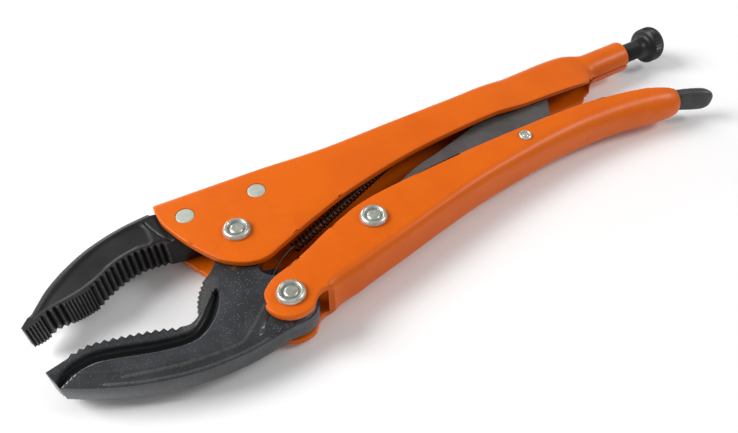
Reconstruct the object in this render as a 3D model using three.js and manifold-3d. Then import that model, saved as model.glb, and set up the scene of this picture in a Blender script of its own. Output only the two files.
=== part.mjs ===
// Locking pliers of the large-jaw pattern, modelled in millimetres with +Z up, lying on their side.
// The origin is on the jaw pivot's axis, in the plane that the rivet heads rest on.
// +X runs from the jaws towards the ends of the handles, +Y towards the back of the fixed handle.
import * as THREE from 'three';
import { mergeVertices } from 'three/addons/utils/BufferGeometryUtils.js';
import Module from 'manifold-3d';

const wasm = await Module();
wasm.setup();

// ---- Driving dimensions ----

const CHANNEL = { half: 9.1, wall: 2.8 };      // pressed channels: half of the outer width, sheet
const JAW_HALF = 6.0;                   // half of the jaws' thickness
const LINK_HALF = 4.7;                  // half of the toggle link's thickness
const LEVER_HALF = 4;                   // and of the release lever's body
const SLACK = 0.3;                      // gap between pieces that touch on the real tool
const OPEN_PIVOT_GAP = 2.3;             // room left between the link's nose and the screw's tip

const JAW_PIVOT = new THREE.Vector2(0, 0);
const HANDLE_PIVOT = new THREE.Vector2(6.4, -35.5);
const LINK_PIVOT = new THREE.Vector2(48, -17.7);
const LEVER_PIVOT = new THREE.Vector2(125.7, -7.3);
const JAW_RIVETS = { front: new THREE.Vector2(-14.8, 16.1), rear: new THREE.Vector2(14, 15.9) };
const SPRING_EYE = new THREE.Vector2(5.4, -20.2);
const SPRING_LUG = new THREE.Vector2(80, 14.8);

const HEAD = { radius: 5.3, height: 1.8, shank: 4.0 };         // the three large pivot rivets
const SMALL_HEAD = { radius: 2.75, height: 1.0, shank: 1.9 };  // the release lever's rivet
const FLUSH_RADIUS = 3.6;
const MID = CHANNEL.half + SLACK / 2 + HEAD.height;   // height of the tool's middle plane

const JAW_TAB_HALF = 1.5;               // half the thickness of the tab with the spring's eye
const LUG_HALF = 2;                     // and of the fixed handle's lug
const SPRING = { radius: 1.8, wire: 0.42, turns: 30, pointsPerTurn: 8 };

const SCREW = {
  contact: new THREE.Vector2(156.5, 23.5),  // where the link bears on the tip
  slope: THREE.MathUtils.degToRad(3),
  tipRadius: 3.2, tipLength: 7, radius: 4.6,
  neckStart: 65.5, knobStart: 69.5, knobEnd: 76, knobRadius: 8.5,   // along the axis, from the contact
};
const TUBE = { radius: 7.3, wall: 2.1, end: 208.5, seamHalf: 0.35 };

// ---- Solids ----

/** Turns a closed geometry into a solid for joining and cutting. */
function solid(geometry) {
  const bare = geometry.clone();
  bare.deleteAttribute('normal');
  bare.deleteAttribute('uv');
  const merged = mergeVertices(bare, 1e-4);
  return new wasm.Manifold(new wasm.Mesh({
    numProp: 3,
    vertProperties: new Float32Array(merged.attributes.position.array),
    triVerts: new Uint32Array(merged.index.array),
  }));
}

/** Turns a solid back into a geometry with flat faces. */
function geometryOf(shape) {
  const mesh = shape.getMesh();
  const geometry = new THREE.BufferGeometry();
  geometry.setAttribute('position', new THREE.BufferAttribute(new Float32Array(mesh.vertProperties), 3));
  geometry.setIndex(new THREE.BufferAttribute(new Uint32Array(mesh.triVerts), 1));
  geometry.computeVertexNormals();
  return geometry;
}

/** A slab of an outline in the XY plane, centred on the tool's middle plane. */
function slab(outline, half, curveSegments = 3) {
  const geometry = new THREE.ExtrudeGeometry(outline, { depth: 2 * half, bevelEnabled: false, curveSegments });
  return solid(geometry.translate(0, 0, MID - half));
}

/** An upright cylinder centred on the middle plane. */
function post(centre, radius, half, segments = 24) {
  const geometry = new THREE.CylinderGeometry(radius, radius, 2 * half, segments);
  return solid(geometry.rotateX(Math.PI / 2).translate(centre.x, centre.y, MID));
}

/** A round body about the line through `from` at the screw's slope; profile points are [along, radius]. */
function turned(profile, segments = 24) {
  const points = profile.map(([along, radius]) => new THREE.Vector2(radius, along));
  const geometry = new THREE.LatheGeometry(points, segments);
  geometry.rotateZ(-Math.PI / 2 + SCREW.slope);
  return geometry.translate(SCREW.contact.x, SCREW.contact.y, MID);
}

/** +1 if a triangle of a ring turns the way that the ring does, or -1. */
function winding(ring, a, b, c) {
  return Math.sign(THREE.ShapeUtils.area([ring[a], ring[b], ring[c]]) * THREE.ShapeUtils.area(ring));
}

/** Joins equal rings of points, one for each station, into a closed body with flat ends. */
function loft(rings) {
  const count = rings[0].length;
  const positions = rings.flat().flatMap((p) => [p.x, p.y, p.z]);
  const index = [];
  for (let i = 0; i < rings.length - 1; i++) {
    for (let j = 0; j < count; j++) {
      const a = i * count + j;
      const b = i * count + (j + 1) % count;
      index.push(a, b, a + count, b, b + count, a + count);
    }
  }
  for (const [first, ring, outward] of [[0, rings[0], -1], [(rings.length - 1) * count, rings.at(-1), 1]]) {
    const flat = ring.map((p) => new THREE.Vector2(p.z, p.y));
    for (const [a, b, c] of THREE.ShapeUtils.triangulateShape([...flat], [])) {
      const rest = outward * winding(flat, a, b, c) > 0 ? [b, c] : [c, b];
      index.push(first + a, ...rest.map((i) => first + i));
    }
  }
  const geometry = new THREE.BufferGeometry();
  geometry.setAttribute('position', new THREE.Float32BufferAttribute(positions, 3));
  geometry.setIndex(index);
  const made = solid(geometry);
  return made.volume() > 0 ? made : solid(flipped(geometry));
}

/** A copy of a geometry with its faces turned over. */
function flipped(geometry) {
  const copy = geometry.clone();
  const index = copy.index.array;
  for (let i = 0; i < index.length; i += 3) [index[i], index[i + 1]] = [index[i + 1], index[i]];
  return copy;
}

/** Points on a list of [x, y] pairs. */
const points = (pairs) => pairs.map(([x, y]) => new THREE.Vector2(x, y));

/** A shape from straight runs and smooth runs: {line: [[x, y]...]} or {curve: [[x, y]...]}. */
function outline(start, ...runs) {
  const shape = new THREE.Shape();
  shape.moveTo(...start);
  for (const run of runs) {
    if (run.line) for (const [x, y] of run.line) shape.lineTo(x, y);
    if (run.curve) shape.splineThru(points(run.curve));
    if (run.arc) shape.absarc(...run.arc);
  }
  return shape;
}

const degrees = THREE.MathUtils.degToRad;

// ---- Pressed channels ----

/**
 * One wall line of a channel's section, from one leg's end round the back to the other's.
 * `back` is the closed side, `edge` the open side; `curl` closes the legs into a tube.
 */
function wallLine({ x, back, edge, half, bend, curl = 0, tube }) {
  const up = Math.sign(back - edge);
  const legs = [];
  const bendSteps = 4;
  const legSteps = 3;
  for (let i = 0; i < legSteps; i++) {
    legs.push([half, edge + (back - up * bend - edge) * i / legSteps]);
  }
  for (let i = 0; i <= bendSteps; i++) {
    const turn = Math.PI / 2 * i / bendSteps;
    legs.push([half - bend + bend * Math.cos(turn), back - up * bend + up * bend * Math.sin(turn)]);
  }
  const total = 2 * legs.length;
  const line = [];
  for (let k = 0; k < total; k++) {
    const [z, y] = k < legs.length ? legs[k] : legs[total - 1 - k];
    const side = k < legs.length ? 1 : -1;
    let at = [side * z, y];
    if (curl > 0) {
      const seam = Math.asin(TUBE.seamHalf / tube.radius);
      const angle = -Math.PI / 2 + seam + (2 * Math.PI - 2 * seam) * k / (total - 1);
      const round = [tube.radius * Math.cos(angle), tube.centre + tube.radius * Math.sin(angle)];
      at = [at[0] + (round[0] - at[0]) * curl, at[1] + (round[1] - at[1]) * curl];
    }
    line.push(new THREE.Vector3(x, at[1], MID + at[0]));
  }
  return line;
}

/** The closed ring of a channel's section: its outer wall line out and its inner one back. */
function channelRing(station) {
  const up = Math.sign(station.back - station.edge);
  const wall = station.wall ?? CHANNEL.wall;
  const inner = {
    ...station,
    back: station.back - up * wall,
    half: station.half - wall,
    bend: Math.max(station.bend - wall, 0.6),
    tube: station.tube && { ...station.tube, radius: station.tube.radius - wall },
  };
  return [...wallLine(station), ...wallLine(inner).reverse()];
}

const tubeAxis = (x) => SCREW.contact.y + (x - SCREW.contact.x) * Math.tan(SCREW.slope);
const asTube = (x, curl, rest) => ({
  x, curl, wall: TUBE.wall, tube: { radius: TUBE.radius, centre: tubeAxis(x) }, ...rest,
});

/** The side outline that the fixed handle's two plates are trimmed to, as the space outside it. */
function fixedHandleTrim() {
  return outline([-70, 70],
    { line: [[-24.3, 70], [-24.3, 22]] },
    { curve: [[-23.3, 15.3], [-18, 2.8], [-11.3, -8.3], [-6.5, -12.9], [-1.7, -15.6], [2.5, -16.7]] },
    { curve: [[6.5, -16.2], [11.7, -14], [29, -6.8], [48.2, -0.1], [77, 6.6], [105.8, 10.3], [125, 11.6]] },
    { curve: [[134.6, 11.2], [153.8, 11.5], [172, 11.3]] },
    { curve: [[176.5, 11.8], [178.4, 14]] },
    { line: [[183, 14.8], [183, -70], [-70, -70]] });
}

function fixedHandle() {
  const plain = { half: CHANNEL.half, bend: 4 };
  const rings = [
    { x: -30, back: 28.7, edge: -22, ...plain },
    { x: 20, back: 28.6, edge: -22, ...plain },
    { x: 34, back: 28.0, edge: -16, ...plain },
    { x: 48, back: 27.7, edge: -6, ...plain },
    { x: 62, back: 28.3, edge: 0, ...plain },
    { x: 78, back: 29.2, edge: 3, ...plain },
    { x: 97, back: 30.0, edge: 6, ...plain },
    { x: 122, back: 31.3, edge: 8, ...plain },
    { x: 132, back: 32.3, edge: 8, half: 8.8, bend: 4.8 },
    { x: 141, back: 33.3, edge: 8, half: 8.0, bend: 5.8, wall: 2.6 },
    { x: 152, back: 34.5, edge: 8, half: 7.8, bend: 6.4, wall: 2.5 },
    { x: 163, back: 35.6, edge: 8, half: 7.7, bend: 6.8, wall: 2.4 },
    asTube(171, 0.04, { back: 36.2, edge: 8.2, half: 7.6, bend: 7.0 }),
    asTube(177, 0.14, { back: 36.4, edge: 9, half: 7.5, bend: 7.0 }),
    asTube(181, 0.38, { back: 36.2, edge: 11, half: 7.4, bend: 7.0 }),
    asTube(184.5, 0.8, { back: 35.6, edge: 14, half: 7.4, bend: 7.0 }),
    asTube(188, 1, { back: 34, edge: 16, half: 7.4, bend: 7.0 }),
    asTube(TUBE.end, 1, { back: 33, edge: 16, half: 7.4, bend: 7.0 }),
  ].map(channelRing);
  let body = loft(rings).subtract(slab(fixedHandleTrim(), 30));
  body = body.subtract(post(JAW_PIVOT, HEAD.shank + SLACK, 30));
  for (const place of Object.values(JAW_RIVETS)) body = body.subtract(post(place, FLUSH_RADIUS + SLACK, 30));
  // the lug that holds the spring's rear hook stands down from the back
  const lug = outline([SPRING_LUG.x - 2.6, 27.5],
    { arc: [SPRING_LUG.x, SPRING_LUG.y + 2.2, 2.6, Math.PI, 2 * Math.PI, false] },
    { line: [[SPRING_LUG.x + 2.6, 27.5]] });
  const eye = new THREE.Vector2(SPRING_LUG.x, SPRING_LUG.y + 2.2);
  return body.add(slab(lug, LUG_HALF).subtract(post(eye, 1.3, 10, 12)));
}

/** The side outline that the lower handle's plates are trimmed to, as the space outside it. */
function lowerHandleTrims() {
  const above = outline([-20, -35.6],
    { line: [[-2.4, -35.6]] },
    { curve: [[-1.7, -30.8], [3.1, -26.5], [9.8, -24.1], [19.4, -20.2], [29, -15.5], [43.4, -9.8]] },
    { curve: [[57.8, -6.9], [96.2, -3.3], [134.6, -1.6], [160, -1.5], [178, -3.4],
      [191, -5.8], [200, -8.6], [208, -12]] },
    { line: [[240, -12], [240, 40], [-20, 40]] });
  const below = outline([-20, -35.6],
    { line: [[-20, -80], [21.6, -80], [21.6, -40.4]] },
    { curve: [[20.4, -39.2], [18, -38.6], [15.6, -39.2], [13.7, -40.8], [11.8, -43]] },
    { arc: [HANDLE_PIVOT.x, HANDLE_PIVOT.y + 0.4, 9.8, degrees(-58), degrees(-180), true] });
  return [above, below];
}

function lowerHandle() {
  const plain = { half: CHANNEL.half, bend: 4 };
  const rings = [
    { x: -8, back: -56, edge: -20, ...plain },
    { x: 13, back: -56, edge: -14, ...plain },
    { x: 19.5, back: -40.4, edge: -12, ...plain },
    { x: 34, back: -35.9, edge: -8, ...plain },
    { x: 55, back: -30.6, edge: -3, ...plain },
    { x: 76, back: -25.2, edge: 0, ...plain },
    { x: 97, back: -20.5, edge: 1, half: CHANNEL.half, bend: 4.6 },
    { x: 118, back: -17.3, edge: 2, half: CHANNEL.half, bend: 5.4 },
    { x: 138, back: -14.9, edge: 2, half: CHANNEL.half, bend: 6.2 },
    { x: 159, back: -13.9, edge: 2, half: CHANNEL.half, bend: 7.0 },
    { x: 180, back: -15.0, edge: 1, half: CHANNEL.half, bend: 7.8 },
    { x: 192, back: -16.8, edge: 0, half: 9.0, bend: 8.4, wall: 2.6 },
    { x: 199, back: -17.9, edge: -2, half: 8.7, bend: 8.4, wall: 2.4 },
    { x: 203.5, back: -18.2, edge: -3, half: 8.1, bend: 7.9, wall: 2.0 },
    { x: 206.5, back: -17.8, edge: -4, half: 7.3, bend: 7.1, wall: 1.2 },
  ].map(channelRing);
  let body = loft(rings);
  for (const trim of lowerHandleTrims()) body = body.subtract(slab(trim, 30));
  body = body.subtract(post(HANDLE_PIVOT, HEAD.shank + SLACK, 30));
  body = body.subtract(post(LINK_PIVOT, HEAD.shank + SLACK, 30));
  return body.subtract(post(LEVER_PIVOT, SMALL_HEAD.shank + SLACK, 30, 16));
}

// ---- Jaws ----

/** A run of teeth along a smooth line: crests every `pitch`, cut `depth` deep on the line's right. */
function teeth(pairs, pitch, depth) {
  const curve = new THREE.SplineCurve(points(pairs));
  const count = Math.max(1, Math.round(curve.getLength() / pitch));
  const made = [];
  for (let i = 0; i < count; i++) {
    const root = curve.getPointAt((i + 0.5) / count);
    const along = curve.getTangentAt((i + 0.5) / count);
    made.push([root.x + along.y * depth, root.y - along.x * depth]);
    const crest = curve.getPointAt((i + 1) / count);
    made.push([crest.x, crest.y]);
  }
  return made;
}

function fixedJaw() {
  const shape = outline([-26.2, 25.4],
    { line: [[-27, 27.4]] },
    { curve: [[-32.6, 26.6], [-37.9, 25.7], [-46, 23.3], [-54.2, 19.8],
      [-62.5, 14.4], [-69.5, 8.2], [-75.1, 1.7]] },
    { line: [[-79.2, -3.2]] },
    { line: [[-78.2, -5.4]] },
    { line: teeth([[-78.2, -5.4], [-75, -4.8], [-72.4, -3.6]], 1.2, -0.5) },
    { line: teeth([[-72.4, -3.6], [-69.5, -1.6], [-64.1, -1.2]], 2.4, -1.1) },
    { line: teeth([[-64.1, -1.2], [-59.3, -0.6], [-54.5, 0.6]], 1.3, -0.5) },
    { line: teeth([[-54.5, 0.6], [-50.7, 3.4], [-44, 7.1], [-36.3, 9.4], [-30.5, 9.2], [-25.4, 8.6]], 2.5, -1.2) },
    { line: [[-23.8, 8.4]] },
    { line: [[-20.6, 7.4], [-9.4, 7]] },
    { arc: [0, 0, 10.1, degrees(134), degrees(98), true] },
    { line: [[6, 10.4], [21, 10.4], [24, 13], [24, 22], [20.5, 25.4]] });
  let body = slab(shape, JAW_HALF);
  for (const place of Object.values(JAW_RIVETS)) body = body.subtract(post(place, FLUSH_RADIUS + SLACK, 30));
  return body;
}

function lowerJaw() {
  const shape = outline([-75, -25.1],
    { line: [[-72.4, -31.2]] },
    { curve: [[-66, -34.8], [-58, -38.6], [-50, -41.8], [-42, -44.2],
      [-33, -46.2], [-24, -47.2], [-14, -47.2]] },
    { curve: [[-6, -46.2], [1.4, -45]] },
    { arc: [HANDLE_PIVOT.x, HANDLE_PIVOT.y, 9.5, degrees(-95), degrees(55), false] },
    { curve: [[9.5, -25.4], [3.6, -22.4], [1.2, -18], [3.6, -11], [8.2, -4]] },
    { arc: [0, 0, 9.1, degrees(-24), degrees(196), false] },
    { curve: [[-11.2, -6.6], [-14.2, -10.7], [-19, -14.5]] },
    { line: teeth([[-19, -14.5], [-21.6, -18], [-23.6, -22.4], [-25, -27.4]], 2.1, -0.9) },
    { curve: [[-26.7, -28.6], [-28.6, -29.1], [-31.4, -28.6]] },
    { line: teeth([[-31.4, -28.6], [-37.7, -26.1], [-48.3, -23.2], [-59.6, -20.9], [-66.2, -21.8]],
      2.75, -1.2) },
    { line: [[-67.4, -23.1]] });
  let body = slab(shape, JAW_HALF);
  const tab = new THREE.Shape();
  tab.absarc(SPRING_EYE.x, SPRING_EYE.y, 3.3, 0, 2 * Math.PI);
  const bridge = outline([-1, -15], { line: [[-1, -24], [6, -24], [SPRING_EYE.x, -16.9]] });
  body = body.add(slab(tab, JAW_TAB_HALF, 8)).add(slab(bridge, JAW_TAB_HALF));
  body = body.subtract(post(SPRING_EYE, 1.5, 30, 12));
  body = body.subtract(post(JAW_PIVOT, HEAD.shank + SLACK, 30));
  return body.subtract(post(HANDLE_PIVOT, HEAD.shank + SLACK, 30));
}

// ---- Link and release lever ----

function toggleLink() {
  const hub = 7.6;
  const shape = outline([LINK_PIVOT.x - 2.4, LINK_PIVOT.y + 7.2],
    { arc: [LINK_PIVOT.x, LINK_PIVOT.y, hub, degrees(108), degrees(290), false] },
    { curve: [[70, -17.6], [95, -9.4], [112, -3.6], [124, -1.2], [136, -0.6]] },
    { curve: [[143, 0.4], [147.6, 3.4], [149.4, 5.6]] },
    { line: [[154.6, 14.6]] },
    { curve: [[156.3, 19.6], [156.5, 22.6], [155.4, 24.6], [153, 25]] },
    { curve: [[140, 21.4], [125, 16.4], [111.2, 11.6], [91.3, 5.5], [77.3, 1.6], [60, -6.4]] });
  return slab(shape, LINK_HALF).subtract(post(LINK_PIVOT, HEAD.shank + SLACK, 30));
}

/**
 * The lever's flat body in the lower handle and its round tail, which stands out at the rear end.
 * The hump behind its pivot lifts the toggle link when the tail is raised.
 */
function releaseLever() {
  const boss = 4.2;
  const shape = outline([LEVER_PIVOT.x + 3.2, LEVER_PIVOT.y + 2.7],
    { arc: [LEVER_PIVOT.x, LEVER_PIVOT.y, boss, degrees(40), degrees(265), false] },
    { curve: [[136, -11.4], [150, -10.2], [168, -9.6], [184, -10.4], [199, -13]] },
    { line: [[199, -7.4]] },
    { curve: [[184, -5.2], [166, -4.9], [152, -4.9], [146.5, -3.3], [143, -2.9], [139.5, -3.5], [134, -5.2]] });
  const body = slab(shape, LEVER_HALF);
  const sections = [
    { x: 197, y: -9.9, wide: 4.2, high: 2.6 },
    { x: 203, y: -10.6, wide: 4.8, high: 2.8 },
    { x: 210, y: -12.4, wide: 5.3, high: 3.0 },
    { x: 216, y: -14.8, wide: 5.5, high: 3.3 },
    { x: 220.5, y: -16.7, wide: 5.3, high: 3.2 },
    { x: 223.2, y: -17.9, wide: 4.2, high: 2.4 },
    { x: 224.4, y: -18.4, wide: 2.4, high: 1.3 },
  ].map(({ x, y, wide, high }) => {
    const ring = [];
    for (let i = 0; i < 16; i++) {
      const turn = 2 * Math.PI * i / 16;
      const soften = (v) => Math.sign(v) * Math.abs(v) ** 0.75;
      ring.push(new THREE.Vector3(x, y + high * soften(Math.sin(turn)), MID + wide * soften(Math.cos(turn))));
    }
    return ring;
  });
  return body.add(loft(sections)).subtract(post(LEVER_PIVOT, SMALL_HEAD.shank + SLACK, 30, 16));
}

// ---- Rivets ----

/** A headed rivet through the tool: domed rims with a sunk ring, and a flat middle. */
function headedRivet(centre, size, segments = 24) {
  const outer = CHANNEL.half + SLACK / 2;
  const top = outer + size.height;
  const half = [
    [0, top], [size.radius * 0.46, top], [size.radius * 0.54, top - size.height * 0.3],
    [size.radius * 0.66, top - size.height * 0.3], [size.radius * 0.76, top - size.height * 0.08],
    [size.radius * 0.96, top - size.height * 0.55], [size.radius, outer], [size.shank, outer],
  ];
  const below = half.map(([r, z]) => new THREE.Vector2(r, -z));
  const above = half.reverse().map(([r, z]) => new THREE.Vector2(r, z));
  const profile = [...below, ...above];
  const geometry = new THREE.LatheGeometry(profile, segments);
  return geometry.rotateX(Math.PI / 2).translate(centre.x, centre.y, MID);
}

// ---- Spring ----

/** The return spring's wire: a hook in the jaw's eye, a straight lead, the coils and a rear hook. */
function springWire() {
  const start = new THREE.Vector3(SPRING_EYE.x + 12.2, SPRING_EYE.y + 9.4, MID);
  const end = new THREE.Vector3(SPRING_LUG.x - 6, SPRING_LUG.y - 0.6, MID);
  const axis = end.clone().sub(start);
  const across = new THREE.Vector3(-axis.y, axis.x, 0).normalize().multiplyScalar(SPRING.radius);
  const up = new THREE.Vector3(0, 0, SPRING.radius);
  const besideEye = MID + JAW_TAB_HALF + SPRING.wire + SLACK;
  const besideLug = MID + LUG_HALF + SPRING.wire + SLACK;
  const path = [
    new THREE.Vector3(SPRING_EYE.x, SPRING_EYE.y, MID - 1.2),
    new THREE.Vector3(SPRING_EYE.x, SPRING_EYE.y, MID + 1),
    new THREE.Vector3(SPRING_EYE.x + 0.7, SPRING_EYE.y + 0.7, besideEye),
    new THREE.Vector3(SPRING_EYE.x + 5, SPRING_EYE.y + 5, besideEye),
  ];
  const count = SPRING.turns * SPRING.pointsPerTurn;
  for (let i = 0; i <= count; i++) {
    const turn = 2 * Math.PI * i / SPRING.pointsPerTurn;
    path.push(start.clone().addScaledVector(axis, i / count)
      .addScaledVector(across, Math.sin(turn)).addScaledVector(up, Math.cos(turn)));
  }
  path.push(
    new THREE.Vector3(SPRING_LUG.x - 1.6, SPRING_LUG.y + 1, besideLug),
    new THREE.Vector3(SPRING_LUG.x - 0.4, SPRING_LUG.y + 2, besideLug),
    new THREE.Vector3(SPRING_LUG.x, SPRING_LUG.y + 2.2, MID + 1),
    new THREE.Vector3(SPRING_LUG.x, SPRING_LUG.y + 2.2, MID - 1.2),
  );
  const curve = new THREE.CatmullRomCurve3(path, false, 'centripetal');
  curve.arcLengthDivisions = 4000;
  return curve;
}

function returnSpring() {
  const wire = new THREE.Shape();
  wire.absarc(0, 0, SPRING.wire, 0, 2 * Math.PI);
  return new THREE.ExtrudeGeometry(wire, {
    steps: SPRING.turns * SPRING.pointsPerTurn + 24, curveSegments: 3, bevelEnabled: false,
    extrudePath: springWire(),
  });
}

// ---- Screw ----

function screwTip() {
  const { tipRadius, tipLength } = SCREW;
  const start = OPEN_PIVOT_GAP;
  const end = start + tipLength;
  const profile = [[start, 0], [start, tipRadius - 0.8], [start + 0.8, tipRadius], [end, tipRadius], [end, 0]];
  return turned(profile, 20);
}

function adjustingScrew() {
  const start = OPEN_PIVOT_GAP + SCREW.tipLength + SLACK;
  const { radius, neckStart, knobStart, knobEnd, knobRadius } = SCREW;
  const shaft = solid(turned([[start, 0], [start, radius - 0.8], [start + 0.8, radius], [neckStart, radius],
    [knobStart - 0.6, 6.6], [knobStart - 0.6, 0]], 24));
  const flutes = 40;
  const knurl = new THREE.Shape();
  for (let i = 0; i < 2 * flutes; i++) {
    const turn = Math.PI * i / flutes;
    const r = knobRadius - (i % 2 ? 0.45 : 0);
    if (i) knurl.lineTo(r * Math.cos(turn), r * Math.sin(turn)); else knurl.moveTo(r, 0);
  }
  const bevel = 0.8;
  const disc = new THREE.ExtrudeGeometry(knurl, {
    depth: knobEnd - knobStart - 2 * bevel, bevelEnabled: true, bevelThickness: bevel, bevelSize: bevel,
    bevelOffset: -bevel, bevelSegments: 1,
  });
  disc.rotateY(Math.PI / 2).translate(knobStart + bevel - 1, 0, 0).rotateZ(SCREW.slope);
  return shaft.add(solid(disc.translate(SCREW.contact.x, SCREW.contact.y, MID)));
}

// ---- Finishes and the assembly ----

const finish = (color, roughness, metalness) => new THREE.MeshStandardMaterial({ color, roughness, metalness });
const ORANGE = finish(0xe2691a, 0.42, 0);
const BLACK_FORGING = finish(0x323234, 0.45, 0.4);
const ZINC = finish(0xbec3b9, 0.35, 0.9);
const DARK_STEEL = finish(0x565556, 0.55, 0.6);
const SPRING_STEEL = finish(0x3c3a38, 0.4, 0.9);

const group = new THREE.Group();

/** Adds one named piece to the tool. */
function piece(name, shape, material) {
  const geometry = shape.isBufferGeometry ? shape : geometryOf(shape);
  const mesh = new THREE.Mesh(geometry, material);
  mesh.name = name;
  group.add(mesh);
}

piece('fixed_handle', fixedHandle(), ORANGE);
piece('fixed_jaw', fixedJaw(), BLACK_FORGING);
piece('front_jaw_rivet', post(JAW_RIVETS.front, FLUSH_RADIUS, CHANNEL.half), ZINC);
piece('rear_jaw_rivet', post(JAW_RIVETS.rear, FLUSH_RADIUS, CHANNEL.half), ZINC);
piece('jaw_pivot_rivet', headedRivet(JAW_PIVOT, HEAD), ZINC);
piece('lower_jaw', lowerJaw(), BLACK_FORGING);
piece('handle_pivot_rivet', headedRivet(HANDLE_PIVOT, HEAD), ZINC);
piece('lower_handle', lowerHandle(), ORANGE);
piece('link_rivet', headedRivet(LINK_PIVOT, HEAD), ZINC);
piece('toggle_link', toggleLink(), DARK_STEEL);
piece('release_lever', releaseLever(), DARK_STEEL);
piece('release_lever_rivet', headedRivet(LEVER_PIVOT, SMALL_HEAD, 16), ZINC);
piece('return_spring', returnSpring(), SPRING_STEEL);
piece('screw_tip', screwTip(), DARK_STEEL);
piece('adjusting_screw', adjustingScrew(), DARK_STEEL);

export default group;
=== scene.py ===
"""Large-jaw locking pliers, lying on their side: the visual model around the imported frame.

Sizes are in millimetres in the classes below and become metres when a piece is finished. The origin is on
the jaw pivot's axis at table height, +X runs to the ends of the handles, and +Y to the fixed handle's back.
"""
import logging
import math
from dataclasses import dataclass, field
from enum import Enum
from typing import Callable, Sequence

import bmesh
import bpy
import numpy as np
from mathutils import Matrix, Vector


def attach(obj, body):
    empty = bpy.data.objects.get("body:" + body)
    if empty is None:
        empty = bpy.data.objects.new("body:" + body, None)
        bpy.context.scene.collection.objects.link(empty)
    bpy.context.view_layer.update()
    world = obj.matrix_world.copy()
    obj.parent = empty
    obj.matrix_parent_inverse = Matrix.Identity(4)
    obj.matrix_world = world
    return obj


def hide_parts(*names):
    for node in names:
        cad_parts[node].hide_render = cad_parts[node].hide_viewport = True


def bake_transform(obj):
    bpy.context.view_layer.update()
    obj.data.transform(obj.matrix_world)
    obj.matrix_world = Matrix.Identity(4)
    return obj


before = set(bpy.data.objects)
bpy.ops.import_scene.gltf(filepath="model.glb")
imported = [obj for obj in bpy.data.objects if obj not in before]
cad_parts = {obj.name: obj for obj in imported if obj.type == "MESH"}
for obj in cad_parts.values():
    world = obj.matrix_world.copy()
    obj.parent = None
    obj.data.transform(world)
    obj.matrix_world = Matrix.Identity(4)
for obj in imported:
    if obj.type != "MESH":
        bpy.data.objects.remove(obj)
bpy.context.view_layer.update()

log = logging.getLogger("pliers")

MM = 0.001
MID = 11.05                      # height of the tool's middle plane
PLATE_HALF = 9.1                 # half of a pressed channel's outer width
JAW_HALF = 6.0
LINK_HALF = 4.7
LEVER_HALF = 4.0
SHANK, SMALL_SHANK, FLUSH = 4.0, 1.9, 3.6
CLEAR = 0.3
WELD = 0.004                     # points nearer than this are one point after a boolean

JAW_PIVOT = (0.0, 0.0)
HANDLE_PIVOT = (6.4, -35.5)
LINK_PIVOT = (48.0, -17.7)
LEVER_PIVOT = (125.7, -7.3)
FRONT_RIVET = (-14.8, 16.1)
REAR_RIVET = (14.0, 15.9)
SPRING_EYE = (5.4, -20.2)
SPRING_LUG = (80.0, 14.8)
SCREW_CONTACT = (156.5, 23.5)
SCREW_SLOPE = math.radians(3)

Pair = tuple[float, float]
Outline = list[Pair]


# ---- Lines and outlines ----

def smooth_run(points: Sequence[Pair], steps: int = 8) -> Outline:
    """Follow a smooth curve through points.

    Args:
        points: The places it passes through, the first of them included.
        steps: How many short lines make up each span.

    Returns:
        The points of the curve, its start included.
    """
    made: Outline = []
    last = len(points) - 1
    for i in range(last):
        a, b = points[max(i - 1, 0)], points[i]
        c, d = points[i + 1], points[min(i + 2, last)]
        for k in range(steps):
            t = k / steps
            made.append(tuple(
                0.5 * (2 * b[n] + (c[n] - a[n]) * t + (2 * a[n] - 5 * b[n] + 4 * c[n] - d[n]) * t * t
                       + (3 * b[n] - a[n] - 3 * c[n] + d[n]) * t ** 3) for n in (0, 1)))
    made.append(tuple(points[last]))
    return made


@dataclass(frozen=True)
class Line:
    """Straight edges to each point in turn."""

    points: Sequence[Pair]

    def follow(self, start: Pair) -> Outline:
        """The points after start."""
        return list(self.points)


@dataclass(frozen=True)
class Smooth:
    """A smooth curve through each point in turn."""

    points: Sequence[Pair]
    steps: int = 8

    def follow(self, start: Pair) -> Outline:
        """The points after start."""
        return smooth_run([start, *self.points], self.steps)[1:]


@dataclass(frozen=True)
class Arc:
    """An arc from one direction to another, in degrees, going the shorter or longer way as they say."""

    centre: Pair
    radius: float
    start: float
    end: float

    def follow(self, start: Pair) -> Outline:
        """The points of the arc."""
        count = max(3, int(abs(self.end - self.start) / 6))
        angles = [math.radians(self.start + (self.end - self.start) * i / count) for i in range(count + 1)]
        return [(self.centre[0] + self.radius * math.cos(a), self.centre[1] + self.radius * math.sin(a))
                for a in angles]


@dataclass(frozen=True)
class Teeth:
    """Gripping teeth along a smooth line, cut into the side on its left."""

    points: Sequence[Pair]
    pitch: float
    depth: float

    def follow(self, start: Pair) -> Outline:
        """Roots and crests in turn."""
        line = np.array(smooth_run(self.points, 24))
        lengths = np.concatenate([[0], np.cumsum(np.hypot(*np.diff(line, axis=0).T))])
        count = max(1, round(lengths[-1] / self.pitch))
        made: Outline = []
        for i in range(count):
            for share, depth in ((0.5, self.depth), (1.0, 0.0)):
                at = lengths[-1] * (i + share) / count
                place = [float(np.interp(at, lengths, line[:, n])) for n in (0, 1)]
                ahead = [float(np.interp(min(at + 0.05, lengths[-1]), lengths, line[:, n])) for n in (0, 1)]
                behind = [float(np.interp(at - 0.05, lengths, line[:, n])) for n in (0, 1)]
                along = Vector((ahead[0] - behind[0], ahead[1] - behind[1])).normalized()
                made.append((place[0] - along.y * depth, place[1] + along.x * depth))
        return made


def outline(start: Pair, *runs: Line | Smooth | Arc | Teeth) -> Outline:
    """Join runs into one closed outline."""
    made = [start]
    for run in runs:
        made += run.follow(made[-1])
    return [p for p, q in zip(made, made[1:] + made[:1]) if math.dist(p, q) > 0.02]


# ---- Meshes ----

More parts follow.
